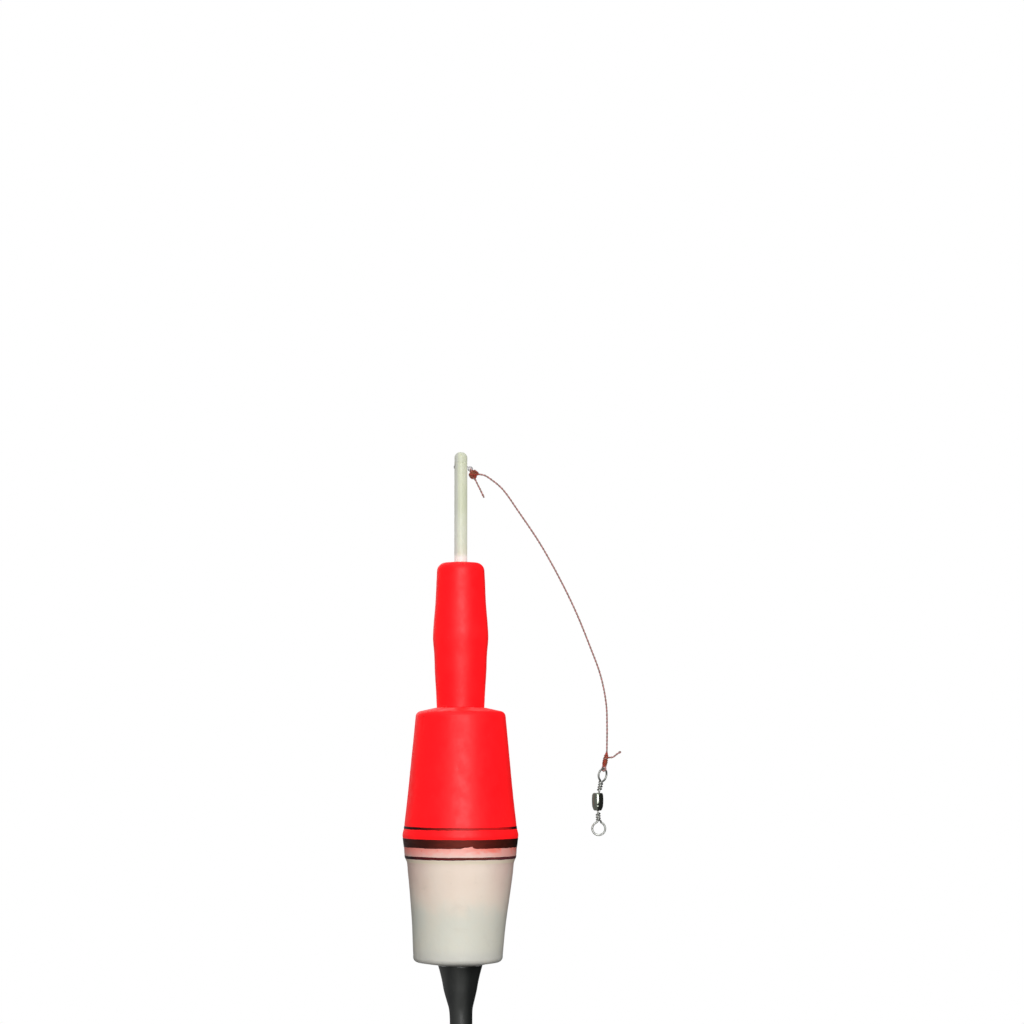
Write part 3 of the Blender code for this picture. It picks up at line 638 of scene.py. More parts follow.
def metal(name, bright, dull, rough_lo, rough_hi, tarnish=0.35):
    """Plated wire: bright, with drawn lines, a little tarnish in patches."""
    s = Shade(name)
    patch = s.noise(0.9, 5.0, 0.6)
    colour = s.mix(s.range(patch, 0.45, 0.75, 0.0, tarnish), bright, dull)
    fine = s.noise(0.16, 4.0, 0.6)
    rough = s.maths("ADD", s.range(patch, 0.35, 0.75, rough_lo, rough_hi), s.maths("MULTIPLY", s.range(fine, 0.5, 0.8), 0.08))
    n = s.bump(fine, 0.0012, 0.5)
    n = s.bump(s.noise(0.7, 2.0, 0.5), 0.006, 0.5, n)
    return s.set(Base_Color=colour, Metallic=1.0, Roughness=rough, Normal=n)


def strand(name, light, mid, dark):
    """One ply of the cord: fine fibres that run along it on a slant."""
    s = Shade(name)
    lay = s.node("ShaderNodeMapping", {"Vector": s.uv, "Scale": (9.0, 5.0, 1.0), "Rotation": (0.0, 0.0, 0.5)}).outputs[0]
    fibre = s.node("ShaderNodeTexNoise", {"Vector": s.node("ShaderNodeMapping", {"Vector": lay, "Scale": (1.0, 0.16, 1.0)}).outputs[0],
                                          "Scale": 1.0, "Detail": 3.0, "Roughness": 0.6}).outputs["Fac"]
    patch = s.noise(1.4, 3.0, 0.5)
    colour = s.ramp(fibre, (0.28, dark), (0.52, mid), (0.74, light))
    colour = s.mix(s.range(patch, 0.5, 0.7, 0.0, 0.35), colour, dark)
    n = s.bump(fibre, 0.02, 0.8)
    n = s.bump(s.noise(0.09, 2.0, 0.5), 0.004, 0.6, n)
    return s.set(Base_Color=colour, Roughness=s.range(fibre, 0.3, 0.7, 0.72, 0.52), Normal=n, Specular_IOR_Level=0.35,
                 Sheen_Weight=0.25, Sheen_Roughness=0.45)


RED_NECK = red_paint("red_paint_neck", NECK_TOP_Z, NECK_BOTTOM_Z)
RED_BODY = red_paint("red_paint_body", SHOULDER_Z, -1.0)
WHITE = white_paint()
# the colours across each band are partly painted light: lighter across the middle of the front, darker towards the two
# sides
BELT_PAINT = band_paint("belt_paint", (-14.6, srgb(60, 24, 18)), (-8.0, srgb(68, 22, 16)), (-2.0, srgb(108, 38, 29)), (3.0, srgb(114, 38, 28)),
                        (8.0, srgb(86, 24, 18)), (12.0, srgb(66, 24, 15)), (14.4, srgb(30, 22, 14)))
UPPER_STRIPE_PAINT = band_paint("upper_stripe_paint", (-14.2, srgb(26, 4, 6)), (-9.5, srgb(40, 6, 8)), (-6.0, srgb(150, 24, 18)), (0.0, srgb(178, 30, 26)),
                                (6.0, srgb(206, 24, 26)), (12.2, srgb(212, 20, 24)), (13.6, srgb(46, 10, 12)))
LOWER_STRIPE_PAINT = band_paint("lower_stripe_paint", (-13.8, srgb(28, 26, 26)), (-11.8, srgb(40, 26, 28)), (-9.5, srgb(92, 26, 30)), (-2.0, srgb(104, 40, 40)),
                                (4.0, srgb(120, 60, 50)), (10.0, srgb(104, 48, 52)), (13.5, srgb(92, 48, 54)))
ROD = rod_plastic("rod_plastic", srgb(228, 231, 207))
CAP = rod_plastic("cap_plastic", srgb(226, 229, 207), cap=True)
BLACK = black_plastic("keel_plastic")
PLUG = black_plastic("plug_plastic")
STEEL = metal("eye_steel", (0.40, 0.39, 0.40, 1.0), (0.18, 0.17, 0.17, 1.0), 0.42, 0.55)
NICKEL = metal("nickel_wire", (0.47, 0.48, 0.45, 1.0), (0.20, 0.205, 0.185, 1.0), 0.40, 0.52, 0.55)
BARREL = metal("nickel_barrel", (0.36, 0.39, 0.33, 1.0), (0.12, 0.13, 0.10, 1.0), 0.15, 0.24, 0.5)
LEAD = metal("cast_lead", (0.30, 0.30, 0.32, 1.0), (0.12, 0.12, 0.13, 1.0), 0.5, 0.7)
PLY_RED = strand("ply_red", srgb(208, 154, 152), srgb(182, 124, 122), srgb(148, 94, 94))
PLY_BROWN = strand("ply_brown", srgb(178, 152, 140), srgb(148, 122, 111), srgb(108, 86, 79))
KNOT_RED = strand("knot_red", srgb(188, 78, 54), srgb(164, 56, 38), srgb(126, 40, 28))
KNOT_BROWN = strand("knot_brown", srgb(162, 92, 54), srgb(138, 70, 42), srgb(104, 50, 32))

# ------------------------------------------------------------------ camera
cam_data = bpy.data.cameras.new("camera")
cam_data.lens, cam_data.sensor_width, cam_data.shift_y = 97.394, 36.0, 0.04
cam_data.clip_start, cam_data.clip_end = 0.01, 20.0
camera = bpy.data.objects.new("camera", cam_data)
scene.collection.objects.link(camera)
camera.location = (0.02234, -0.700, 0.028)
yaw, pitch = math.radians(-0.7659), math.radians(3.5601)
look = Vector((math.sin(yaw) * math.cos(pitch), math.cos(yaw) * math.cos(pitch), math.sin(pitch)))
camera.rotation_mode = "QUATERNION"
camera.rotation_quaternion = look.to_track_quat("-Z", "Y")
scene.camera = camera

# ------------------------------------------------------------------ cord frames of reference
ring_centre = Vector((EYE_X, 0, EYE_Z - EYE_RING_R))
_a = math.radians(LOOP_AT_DEG)
out_dir = Vector((math.cos(_a), 0, math.sin(_a)))
along = Vector((-math.sin(_a), 0, math.cos(_a)))
top_loop_at = ring_centre + out_dir * EYE_RING_R
top_loop_r = EYE_WIRE_R + LOOP_GAP + CORD_R
upper_pivot, upper_centre = Vector((SWIVEL_X, 0, UPPER_PIVOT_Z)), Vector((UPPER_RING[0], 0, UPPER_RING[1]))
lower_pivot, lower_centre = Vector((SWIVEL_X, 0, LOWER_PIVOT_Z)), Vector((LOWER_RING[0], 0, LOWER_RING[1]))
upper_d = (upper_centre - upper_pivot).normalized()
bottom_loop_at = upper_centre + upper_d * RING_R
bottom_loop_r = RING_WIRE_R + LOOP_GAP + CORD_R
cord_end = Vector((36.88, 0, 21.25))


def ring_tangent(d, turn_deg):
    side = Vector((0, 1, 0)).cross(d)
    t = math.radians(turn_deg)
    return side * math.cos(t) + Vector((0, 1, 0)) * math.sin(t)


upper_tangent = ring_tangent(upper_d, UPPER_RING_TURN)


def loop_piece(name, centre, axis, radius):
    """The cord's closed loop round a wire."""
    m = frame_mm(centre, axis)
    sx, sy = Vector(m.col[0][:3]), Vector(m.col[1][:3])
    n = 72
    path, frames = [], []
    for i in range(n):
        b = math.tau * i / n
        radial = sx * math.cos(b) + sy * math.sin(b)
        path.append(Vector(centre) + radial * radius)
        frames.append((-sx * math.sin(b) + sy * math.cos(b), radial, Vector(axis).normalized()))
    build = Build()
    build.plies(path, frames, pitch=1.5, closed=True, wobble=0.10)
    return build.object(name)


# ------------------------------------------------------------------ leader cord
route = smooth_path([(x, 0, z) for x, z in LEADER], 0.10)
build = Build()
build.plies(route, pitch=1.85, wobble=0.14)
build.fibres(route, 26, 3.0, reach=0.32, slot=0, start=0.02, end=0.98)
build.fibres(route, 18, 11.0, reach=0.26, slot=1, start=0.02, end=0.98)
leader = piece(build.object("leader_cord_twisted"), "leader", "leader_cord", "cord", PLY_RED, PLY_BROWN)

tag_route = smooth_path([(x, 0, z) for x, z in TOP_TAG], 0.09)
build = Build()
build.plies(tag_route, pitch=1.7, wobble=0.2, fray=0.8, phase=0.8)
build.fibres(tag_route, 9, 21.0, reach=0.45, slot=0, start=0.72, end=0.98)
top_tag = piece(build.object("top_tag_twisted"), "leader", "top_tag", "cord", PLY_RED, PLY_BROWN)

tag_route2 = smooth_path([(x, 0, z) for x, z in BOTTOM_TAG], 0.09)
build = Build()
build.plies(tag_route2, pitch=1.6, wobble=0.2, fray=1.0, phase=0.3)
build.fibres(tag_route2, 11, 33.0, reach=0.45, slot=0, start=0.6, end=0.98)
bottom_tag = piece(build.object("bottom_tag_twisted"), "leader", "bottom_tag", "cord", PLY_RED, PLY_BROWN)

top_loop = piece(loop_piece("top_loop_twisted", top_loop_at, along, top_loop_r), "line_loop", "top_loop", "cord", PLY_RED, PLY_BROWN)
bottom_loop = piece(loop_piece("bottom_loop_twisted", bottom_loop_at, upper_tangent, bottom_loop_r), "leader", "bottom_loop", "cord", PLY_RED, PLY_BROWN)


def coil_path(foot, axis, across, start, end, turns, radius, first, spacing=0.07):
    """Wraps round an axis: radius is a function of the share of the way."""
    z = Vector(axis).normalized()
    x = (Vector(across) - z * Vector(across).dot(z)).normalized()
    y = z.cross(x)
    n = int(60 * turns)
    pts = []
    for i in range(n + 1):
        f = i / n
        b = first + math.tau * turns * f
        r = radius(f)
        pts.append(Vector(foot) + z * (start + (end - start) * f) + (x * math.cos(b) + y * math.sin(b)) * r)
    return even(pts, spacing)


def local(foot, axis, across, s, a, b):
    z = Vector(axis).normalized()
    x = (Vector(across) - z * Vector(across).dot(z)).normalized()
    return Vector(foot) + z * s + x * a + z.cross(x) * b


def plump(foot, axis, start, end, radius, build, slot):
    """The filler inside a knot: an uneven barrel."""
    z = Vector(axis).normalized()
    n = 14
    path = [Vector(foot) + z * (start + (end - start) * i / n) for i in range(n + 1)]
    radii = [radius * (0.55 + 0.45 * math.sin(math.pi * (0.06 + 0.88 * i / n))) for i in range(n + 1)]
    build.tube(path, carried_frames(path), radii, 20, slot)


# top knot: wraps and crossing turns, drawn down hard against the eye
def at_top(s, a, b=0.0):
    return local(top_loop_at, out_dir, along, s, a, b)


build = Build()
plump(top_loop_at, out_dir, 0.22, 1.80, 0.92, build, 2)
wrap = coil_path(top_loop_at, out_dir, along, 0.38, 1.62, 3.3, lambda f: 0.71 + 0.25 * math.sin(math.pi * f), -1.2)
build.plies(even(wrap, 0.08), pitch=1.35, slots=(2, 3), thick=1.16, wobble=0.15)
tag_start = Vector((TOP_TAG[0][0], 0, TOP_TAG[0][1]))
cross = smooth_path([at_top(0.28, 0.46, -0.58), at_top(0.66, -0.28, -1.06), at_top(1.20, -0.88, -0.70), at_top(1.68, -0.80, 0.02),
                     at_top(2.00, -0.46, 0.14), tag_start], 0.08)
build.plies(cross, pitch=1.5, slots=(2, 1), thick=1.10, wobble=0.15)
over = smooth_path([at_top(0.26, -0.14, 0.74), at_top(0.74, 0.66, 0.88), at_top(1.24, 1.10, 0.12), at_top(1.56, 0.76, -0.68)], 0.08)
build.plies(over, pitch=1.5, slots=(3, 2), thick=1.10, wobble=0.15)
back_turn = smooth_path([at_top(0.42, 0.86, -0.36), at_top(0.82, 0.56, -0.99), at_top(1.40, -0.20, -1.07), at_top(1.74, -0.64, -0.54)], 0.08)
build.plies(back_turn, pitch=1.5, slots=(2, 3), thick=1.06, wobble=0.15)
stand = smooth_path([at_top(0.80, 0.30), at_top(1.30, 0.90), Vector((4.36, 0, 91.57)), Vector((LEADER[0][0], 0, LEADER[0][1]))], 0.08)
build.plies(stand, pitch=1.85, slots=(2, 3), thick=1.0)
top_knot = piece(build.object("top_knot_wraps"), "leader", "top_knot", "knot", PLY_RED, PLY_BROWN, KNOT_RED, KNOT_BROWN)

# bottom knot: a long neat wrap above the swivel, tapering to the cord
knot_axis = (cord_end - bottom_loop_at).normalized()
knot_side = Vector((knot_axis.z, 0, -knot_axis.x))
build = Build()
full = (cord_end - bottom_loop_at).length
plump(bottom_loop_at, knot_axis, 0.62, full - 0.25, 0.50, build, 2)
wrap = coil_path(bottom_loop_at, knot_axis, knot_side, 0.98, full - 0.62, 6.2,
                 lambda f: 0.44 + 0.05 * math.sin(math.pi * min(1.0, f * 1.4)) - 0.13 * f * f, 0.4)
build.plies(wrap, pitch=1.45, slots=(2, 3), thick=1.02, wobble=0.12)
lead = smooth_path([local(bottom_loop_at, knot_axis, knot_side, 2.55, -0.25, -0.60), local(bottom_loop_at, knot_axis, knot_side, 2.85, 0.35, -0.62),
                    local(bottom_loop_at, knot_axis, knot_side, 3.00, 0.80, -0.25), Vector((BOTTOM_TAG[0][0], 0, BOTTOM_TAG[0][1]))], 0.08)
build.plies(lead, pitch=1.6, slots=(2, 1), thick=1.0, wobble=0.15)
stand = [bottom_loop_at + knot_axis * (full - 1.2 + 1.2 * i / 16) for i in range(17)]
build.plies(stand, pitch=1.85, slots=(2, 3))
legs = [smooth_path([local(bottom_loop_at, knot_axis, knot_side, 0.40, w * 0.42, 0.0), local(bottom_loop_at, knot_axis, knot_side, 0.80, w * 0.28, 0.05),
                     local(bottom_loop_at, knot_axis, knot_side, 1.15, w * 0.16, 0.0)], 0.08) for w in (-1, 1)]
for leg in legs:
    build.plies(leg, pitch=1.5, slots=(0, 1), wobble=0.1)
bottom_knot = piece(build.object("bottom_knot_wraps"), "leader", "bottom_knot", "knot", PLY_RED, PLY_BROWN, KNOT_RED, KNOT_BROWN)


# ------------------------------------------------------------------ swivel
def swivel_eye(name, pivot, centre, turn_deg, wraps, hand):
    """One length of wire: headed inside the barrel, up the stem, round the ring, and wrapped back down the stem."""
    d = (centre - pivot).normalized()
    tangent = ring_tangent(d, turn_deg)
    normal = tangent.cross(d)
    reach = (centre - pivot).length
    w, tight = 0.252, 0.205
    foot = reach - RING_R

    def at(s, a, b=0.0):
        return pivot + d * s + tangent * a + normal * b

    points = [at(0.40, 0), at(0.9, 0), at(1.5, 0), at(2.2, 0), at(foot - 1.15, 0), at(foot - 0.62, 0.05), at(foot - 0.22, 0.22)]
    ring = []
    for i in range(49):
        b = math.radians(31 + (334 - 31) * i / 48)
        drift = 0.22 * smoothstep(0.80, 1.0, i / 48) * hand
        ring.append(centre + (tangent * math.sin(b) - d * math.cos(b)) * RING_R + normal * drift)
    points += ring
    n = int(26 * wraps)
    for i in range(n + 1):
        f = i / n
        b = math.pi + 0.25 * hand - hand * math.tau * wraps * f
        r = w + tight * 0.90 + 0.14 * (1 - smoothstep(0.0, 0.12, f))
        s = foot - 0.34 - (foot - 0.34 - 2.02) * f
        points.append(at(s, r * math.cos(b), r * math.sin(b) * 1.0))
    path = smooth_path(points, 0.07)
    build = Build()
    # the wire is drawn thinner where it is wrapped
    leaves = min(range(len(path)), key=lambda i: (path[i] - ring[-1]).length)
    radii = [w + (tight - w) * smoothstep(leaves, leaves + 14, i) for i in range(len(path))]
    build.wire(path, w, 14, hint=tuple(normal), radii=radii)
    # the headed end, turned
    outline = [(0, -0.42), (0.50, -0.42), (0.66, -0.36), (0.80, -0.2), (0.85, 0.0), (0.82, 0.18), (0.68, 0.34), (0.42, 0.42), (0, 0.42)]
    m = frame_mm(pivot, d)
    rows = []
    for r, z in outline:
        row = []
        for k in range(28 if r > 0 else 1):
            b = math.tau * k / 28
            row.append(len(build.verts))
            build.verts.append(tuple(m @ Vector((r * math.cos(b), r * math.sin(b), z))))
        rows.append(row)
    for a, b in zip(rows, rows[1:]):
        for k in range(28):
            j = (k + 1) % 28
            f = (a[0], b[k], b[j]) if len(a) == 1 else (a[k], b[0], a[j]) if len(b) == 1 else (a[k], b[k], b[j], a[j])
            build.faces.append(f)
            build.uvs.append([(0.0, 0.0)] * len(f))
            build.slots.append(0)
    return build.object(name, 40.0)


upper_eye = piece(swivel_eye("swivel_upper_eye_wire", upper_pivot, upper_centre, UPPER_RING_TURN, 3.2, 1), "upper_eye", "swivel_upper_eye", "swivel_wire", NICKEL)
lower_eye = piece(swivel_eye("swivel_lower_eye_wire", lower_pivot, lower_centre, 0.0, 3.2, -1), "lower_eye", "swivel_lower_eye", "swivel_wire", NICKEL)

barrel_outer = [(0.80, 6.60), (0.86, 6.61), (0.93, 6.67), (1.02, 6.79), (1.12, 6.93), (1.22, 7.07), (1.31, 7.21), (1.375, 7.34),
                (1.41, 7.46), (1.432, 7.60), (1.443, 7.75), (1.423, 7.80), (1.443, 7.85), (1.45, 8.4), (1.45, 8.8), (1.45, 9.2), (1.45, 9.6),
                (1.45, 10.0), (1.443, 10.18), (1.423, 10.23), (1.443, 10.28), (1.446, 10.45), (1.435, 10.58), (1.40, 10.72), (1.34, 10.84),
                (1.26, 10.93), (1.17, 10.985), (1.06, 11.0), (0.88, 11.0)]
barrel_inner = [(0.78, 10.95), (BARREL_HOLE_R, 10.86), (BARREL_HOLE_R, 10.3), (BARREL_CAVITY_R, 10.3),
                (BARREL_CAVITY_R, 7.35), (BARREL_HOLE_R, 7.35), (BARREL_HOLE_R, 6.74), (0.78, 6.65)]


def barrel_shift(a, r, z):
    if r < 1.02:
        return 0.0, 0.0
    # slightly swollen at mid-height
    return 0.010 * noise.noise(Vector((math.cos(a) * 1.5, math.sin(a) * 1.5, z * 1.2))) - 0.085 * ((z - 9.2) / 1.6) ** 2 * smoothstep(1.1, 1.4, r), 0.0


barrel = piece(lathe("swivel_barrel_turned", barrel_outer + barrel_inner, 72, barrel_shift,
                     Matrix.Translation((SWIVEL_X, 0, 0)), 30.0), "barrel", "swivel_barrel", "swivel_barrel", BARREL)


# ------------------------------------------------------------------ wire eye
def eye_mesh():
    head_x = -(ROD_R - 0.09)
    points = [Vector((head_x + 0.02, 0, EYE_Z)), Vector((-1.0, 0, EYE_Z)), Vector((0.0, 0, EYE_Z)), Vector((1.0, 0, EYE_Z)), Vector((1.7, 0, EYE_Z)),
              Vector((2.1, 0, EYE_Z))]
    for i in range(41):
        b = math.radians(78 - (78 + 190) * i / 40)
        drift = 0.16 * smoothstep(0.75, 1.0, i / 40)
        points.append(ring_centre + Vector((math.cos(b), 0, math.sin(b))) * EYE_RING_R + Vector((0, drift, 0)))
    path = smooth_path(points, 0.06)
    build = Build()
    build.wire(path, EYE_WIRE_R, 14)
    # the clinched end: a flattened, slightly off-round button
    outline = [(0, 0.0), (EYE_HEAD_R * 0.86, 0.0), (EYE_HEAD_R, 0.05), (EYE_HEAD_R, 0.10), (EYE_HEAD_R * 0.93, 0.16),
               (EYE_HEAD_R * 0.72, 0.21), (EYE_HEAD_R * 0.40, 0.235), (0, 0.24)]
    m = frame_mm((head_x, 0, EYE_Z), (-1, 0, 0), (0, 1, 0))
    rows = []
    for r, z in outline:
        row = []
        for k in range(24 if r > 0 else 1):
            b = math.tau * k / 24
            q = r * (1.0 + 0.07 * math.sin(2 * b + 0.6) + 0.03 * math.sin(5 * b))
            row.append(len(build.verts))
            build.verts.append(tuple(m @ Vector((q * math.cos(b), q * math.sin(b), z))))
        rows.append(row)
    for a, b in zip(rows, rows[1:]):
        for k in range(24):
            j = (k + 1) % 24
            f = (a[0], b[k], b[j]) if len(a) == 1 else (a[k], b[0], a[j]) if len(b) == 1 else (a[k], b[k], b[j], a[j])
            build.faces.append(f)
            build.uvs.append([(0.0, 0.0)] * len(f))
            build.slots.append(0)
    return build.object("line_eye_wire", 40.0)


piece(eye_mesh(), "float", "line_eye", "eye_wire", STEEL)


# ------------------------------------------------------------------ rod and cap
def rod_shift(a, r, z):
    if r < ROD_R - 0.2:
        return 0.0, 0.0
    d = 0.016 * noise.noise(Vector((math.cos(a) * 2.4, math.sin(a) * 2.4, z * 0.05)))
    d += 0.012 * noise.noise(Vector((math.cos(a), math.sin(a), z * 0.35)))
    # the wire has pulled the wall in slightly where it crosses
    for side in (0.0, math.pi):
        da = (a - side + math.pi) % math.tau - math.pi
        d -= 0.055 * math.exp(-((da * ROD_R / 0.45) ** 2) - ((z - EYE_Z) / 0.5) ** 2)
    return d, 0.0


rod_out = dense([(ROD_BORE_R, ROD_BOTTOM_Z), (ROD_R, ROD_BOTTOM_Z), (ROD_R, ROD_TOP_Z - 0.07), (ROD_R - 0.07, ROD_TOP_Z),
                 (ROD_BORE_R, ROD_TOP_Z)], 0.8)
piece(lathe("core_rod_tube", rod_out, 64, rod_shift), "float", "core_rod", "rod", ROD)

cap_seam = ROD_TOP_Z + 0.05
cap_out = [(0, TIP_SPIGOT_Z), (TIP_SPIGOT_R - 0.06, TIP_SPIGOT_Z), (TIP_SPIGOT_R, TIP_SPIGOT_Z + 0.1), (TIP_SPIGOT_R, cap_seam),
           (ROD_R - 0.10, cap_seam), (ROD_R - 0.02, cap_seam + 0.06)]
cap_out += fillet((ROD_R, cap_seam + 0.1), (ROD_R, TIP_Z), (0, TIP_Z), TIP_DOME, 16)
cap_out += [(0, TIP_Z)]


def cap_shift(a, r, z):
    if z < cap_seam + 0.01:
        return 0.0, 0.0
    f = smoothstep(0.0, 0.3, r)
    d = 0.02 * noise.noise(Vector((math.cos(a) * 1.3 * r, math.sin(a) * 1.3 * r, z)))
    # the cap was pressed on a little unevenly: its crown leans to the left
    return f * d, 0.05 * (-math.cos(a)) * r / ROD_R * smoothstep(95.4, 97.0, z) - 0.03


piece(lathe("rod_tip_cap_dome", dense(cap_out, 0.3), 64, cap_shift), "float", "rod_tip_cap", "rod_cap", CAP)


# ------------------------------------------------------------------ foam body
def swell(a, z, seed):
    """Slow unevenness of turned and sprayed foam, in millimetres."""
    return 0.055 * noise.noise(Vector((math.cos(a) * 0.9 + seed, math.sin(a) * 0.9, z * 0.055)))


def grain(a, r, z, seed):
    x, y = r * math.cos(a), r * math.sin(a)
    return (0.016 * noise.noise(Vector((x * 0.55 + seed, y * 0.55, z * 0.55)))
            + 0.009 * noise.noise(Vector((x * 1.5, y * 1.5 + seed, z * 1.5))))


def dents(a, r, z):
    x, y = r * math.cos(a), r * math.sin(a)
    d = 0.0
    for (px, py, pz), size in RED_MARKS:
        q = ((x - px) ** 2 + (y - py) ** 2 + (z - pz) ** 2) / (size * 0.9) ** 2
        if q < 9:
            d -= 0.09 * math.exp(-q)
    return d


def neck_shift(a, r, z):
    if r < 2.2:
        return 0.0, 0.0
    f = smoothstep(2.2, 4.5, r)
    return f * (swell(a, z, 4.0) * 0.8 + grain(a, r, z, 1.0) + dents(a, r, z)), 0.02 * f * noise.noise(Vector((r * math.cos(a), r * math.sin(a), 9.0)))


neck_foot, neck_crown, neck_round = NECK_BOTTOM_Z - 0.11, NECK_TOP_Z - 0.20, NECK_EDGE + 0.4
zs = [neck_foot + 0.25 + (neck_crown - neck_round - 0.1 - neck_foot - 0.25) * i / 96 for i in range(97)]
neck_out = [(BORE_R, neck_foot + 0.02), (2.4, neck_foot), (4.0, neck_foot), (5.6, neck_foot)]
neck_out += fillet((5.0, neck_foot), (between(NECK, NECK_BOTTOM_Z), neck_foot), (between(NECK, NECK_BOTTOM_Z + 1), neck_foot + 1), 0.14, 5)
neck_out += [(between(NECK, z), z) for z in zs]
neck_out += fillet((between(NECK, zs[-1]), zs[-1]), (between(NECK, NECK_TOP_Z), neck_crown), (BORE_R, neck_crown), neck_round, 18)
neck_out += [(3.4, neck_crown), (3.0, neck_crown - 0.01), (2.6, neck_crown - 0.02), (2.15, neck_crown - 0.05),
             (1.90, neck_crown - 0.12), (BORE_R, neck_crown - 0.32)]
piece(lathe("neck_float_foam", neck_out, 144, neck_shift), "float", "neck_float", "red_neck", RED_NECK)


def body_shift(a, r, z):
    if r < 2.4:
        return 0.0, 0.0
    f = smoothstep(2.4, 6.0, r)
    # paint is thin and even where the bands lie
    calm = 1.0
    for top, bottom in (STRIPE_UPPER, BELT, STRIPE_LOWER):
        if bottom - 0.3 < z < top + 0.3:
            calm = 0.25
    if abs(z - SEAM_Z) < 0.2 and r < 14.0:
        return 0.0, 0.0
    # the white cone was turned a little off centre: it leans to the left towards its foot
    lean = -0.62 * smoothstep(-7.0, -34.0, z) * math.cos(a) * smoothstep(5.5, 8.0, r)
    return f * (swell(a, z, 0.0) + calm * grain(a, r, z, 3.0) + dents(a, r, z)) + lean, 0.0


BAND_SEAT = 0.03


def seat(z):
    """How far the skin lies back under a band."""
    d = 0.0
    for top, bottom in (STRIPE_UPPER, BELT, STRIPE_LOWER):
        d = max(d, BAND_SEAT * smoothstep(bottom - 0.10, bottom + 0.10, z) * (1 - smoothstep(top - 0.10, top + 0.10, z)))
    return d


def ladder(z0, z1, spacing):
    n = max(1, math.ceil(abs(z1 - z0) / spacing))
    return [z0 + (z1 - z0) * i / n for i in range(n + 1)]


upper_out = [(BORE_R, SEAM_Z + 0.03), (4.0, SEAM_Z + 0.03), (8.0, SEAM_Z + 0.03), (12.0, SEAM_Z + 0.03), (skin(SEAM_Z) - 0.12, SEAM_Z + 0.03),
             (skin(SEAM_Z) - 0.05, SEAM_Z + 0.06)]
upper_out += [(skin(z) - seat(z), z) for z in ladder(SEAM_Z + 0.14, 4.0, 0.16)]
upper_out += [(skin(z), z) for z in ladder(4.3, 25.0, 0.42)]
shoulder_fall = SHOULDER_FALL + 0.25
upper_out += fillet((skin(25.0), 25.0), (SHOULDER_R, SHOULDER_Z - shoulder_fall), (SHOULDER_FLAT_R, SHOULDER_Z), SHOULDER_EDGE + 0.4, 14)
upper_out += [(r, SHOULDER_Z - shoulder_fall * (r - SHOULDER_FLAT_R) / (SHOULDER_R - SHOULDER_FLAT_R)) for r in (9.2, 8.6, 7.8, 7.0, 6.5)]
upper_out += [(6.0, SHOULDER_Z), (4.0, SHOULDER_Z), (2.4, SHOULDER_Z), (BORE_R, SHOULDER_Z - 0.05)]
piece(lathe("upper_body_foam", upper_out, 224, body_shift), "float", "upper_body", "red_body", RED_BODY)

lower_out = [(BORE_R, SEAM_Z - 0.03), (BORE_R, KEEL_SPIGOT_Z + 0.15), (KEEL_SPIGOT_R + 0.12, KEEL_SPIGOT_Z + 0.15),
             (KEEL_SPIGOT_R + 0.12, BODY_BOTTOM_Z + 0.12), (KEEL_SPIGOT_R + 0.3, BODY_BOTTOM_Z), (5.0, BODY_BOTTOM_Z), (5.7, BODY_BOTTOM_Z)]
lower_out += [(r, BODY_BOTTOM_Z + BODY_BOTTOM_RISE * (r - BODY_BOTTOM_FLAT_R) / (BODY_BOTTOM_R - BODY_BOTTOM_FLAT_R)) for r in (6.2, 7.0, 7.8, 8.6, 9.2)]
lower_out += fillet((BODY_BOTTOM_FLAT_R, BODY_BOTTOM_Z), (BODY_BOTTOM_R, BODY_BOTTOM_Z + BODY_BOTTOM_RISE), (skin(-27.0), -27.0), BODY_BOTTOM_EDGE, 14)
lower_out += [(skin(z), z) for z in ladder(-29.4, -7.2, 0.42)]
lower_out += [(skin(z) - seat(z), z) for z in ladder(-6.9, SEAM_Z - 0.14, 0.16)]
lower_out += [(skin(SEAM_Z) - 0.05, SEAM_Z - 0.06), (skin(SEAM_Z) - 0.12, SEAM_Z - 0.03), (12.0, SEAM_Z - 0.03), (8.0, SEAM_Z - 0.03), (4.0, SEAM_Z - 0.03)]
piece(lathe("lower_body_foam", lower_out, 224, body_shift), "float", "lower_body", "white_body", WHITE)


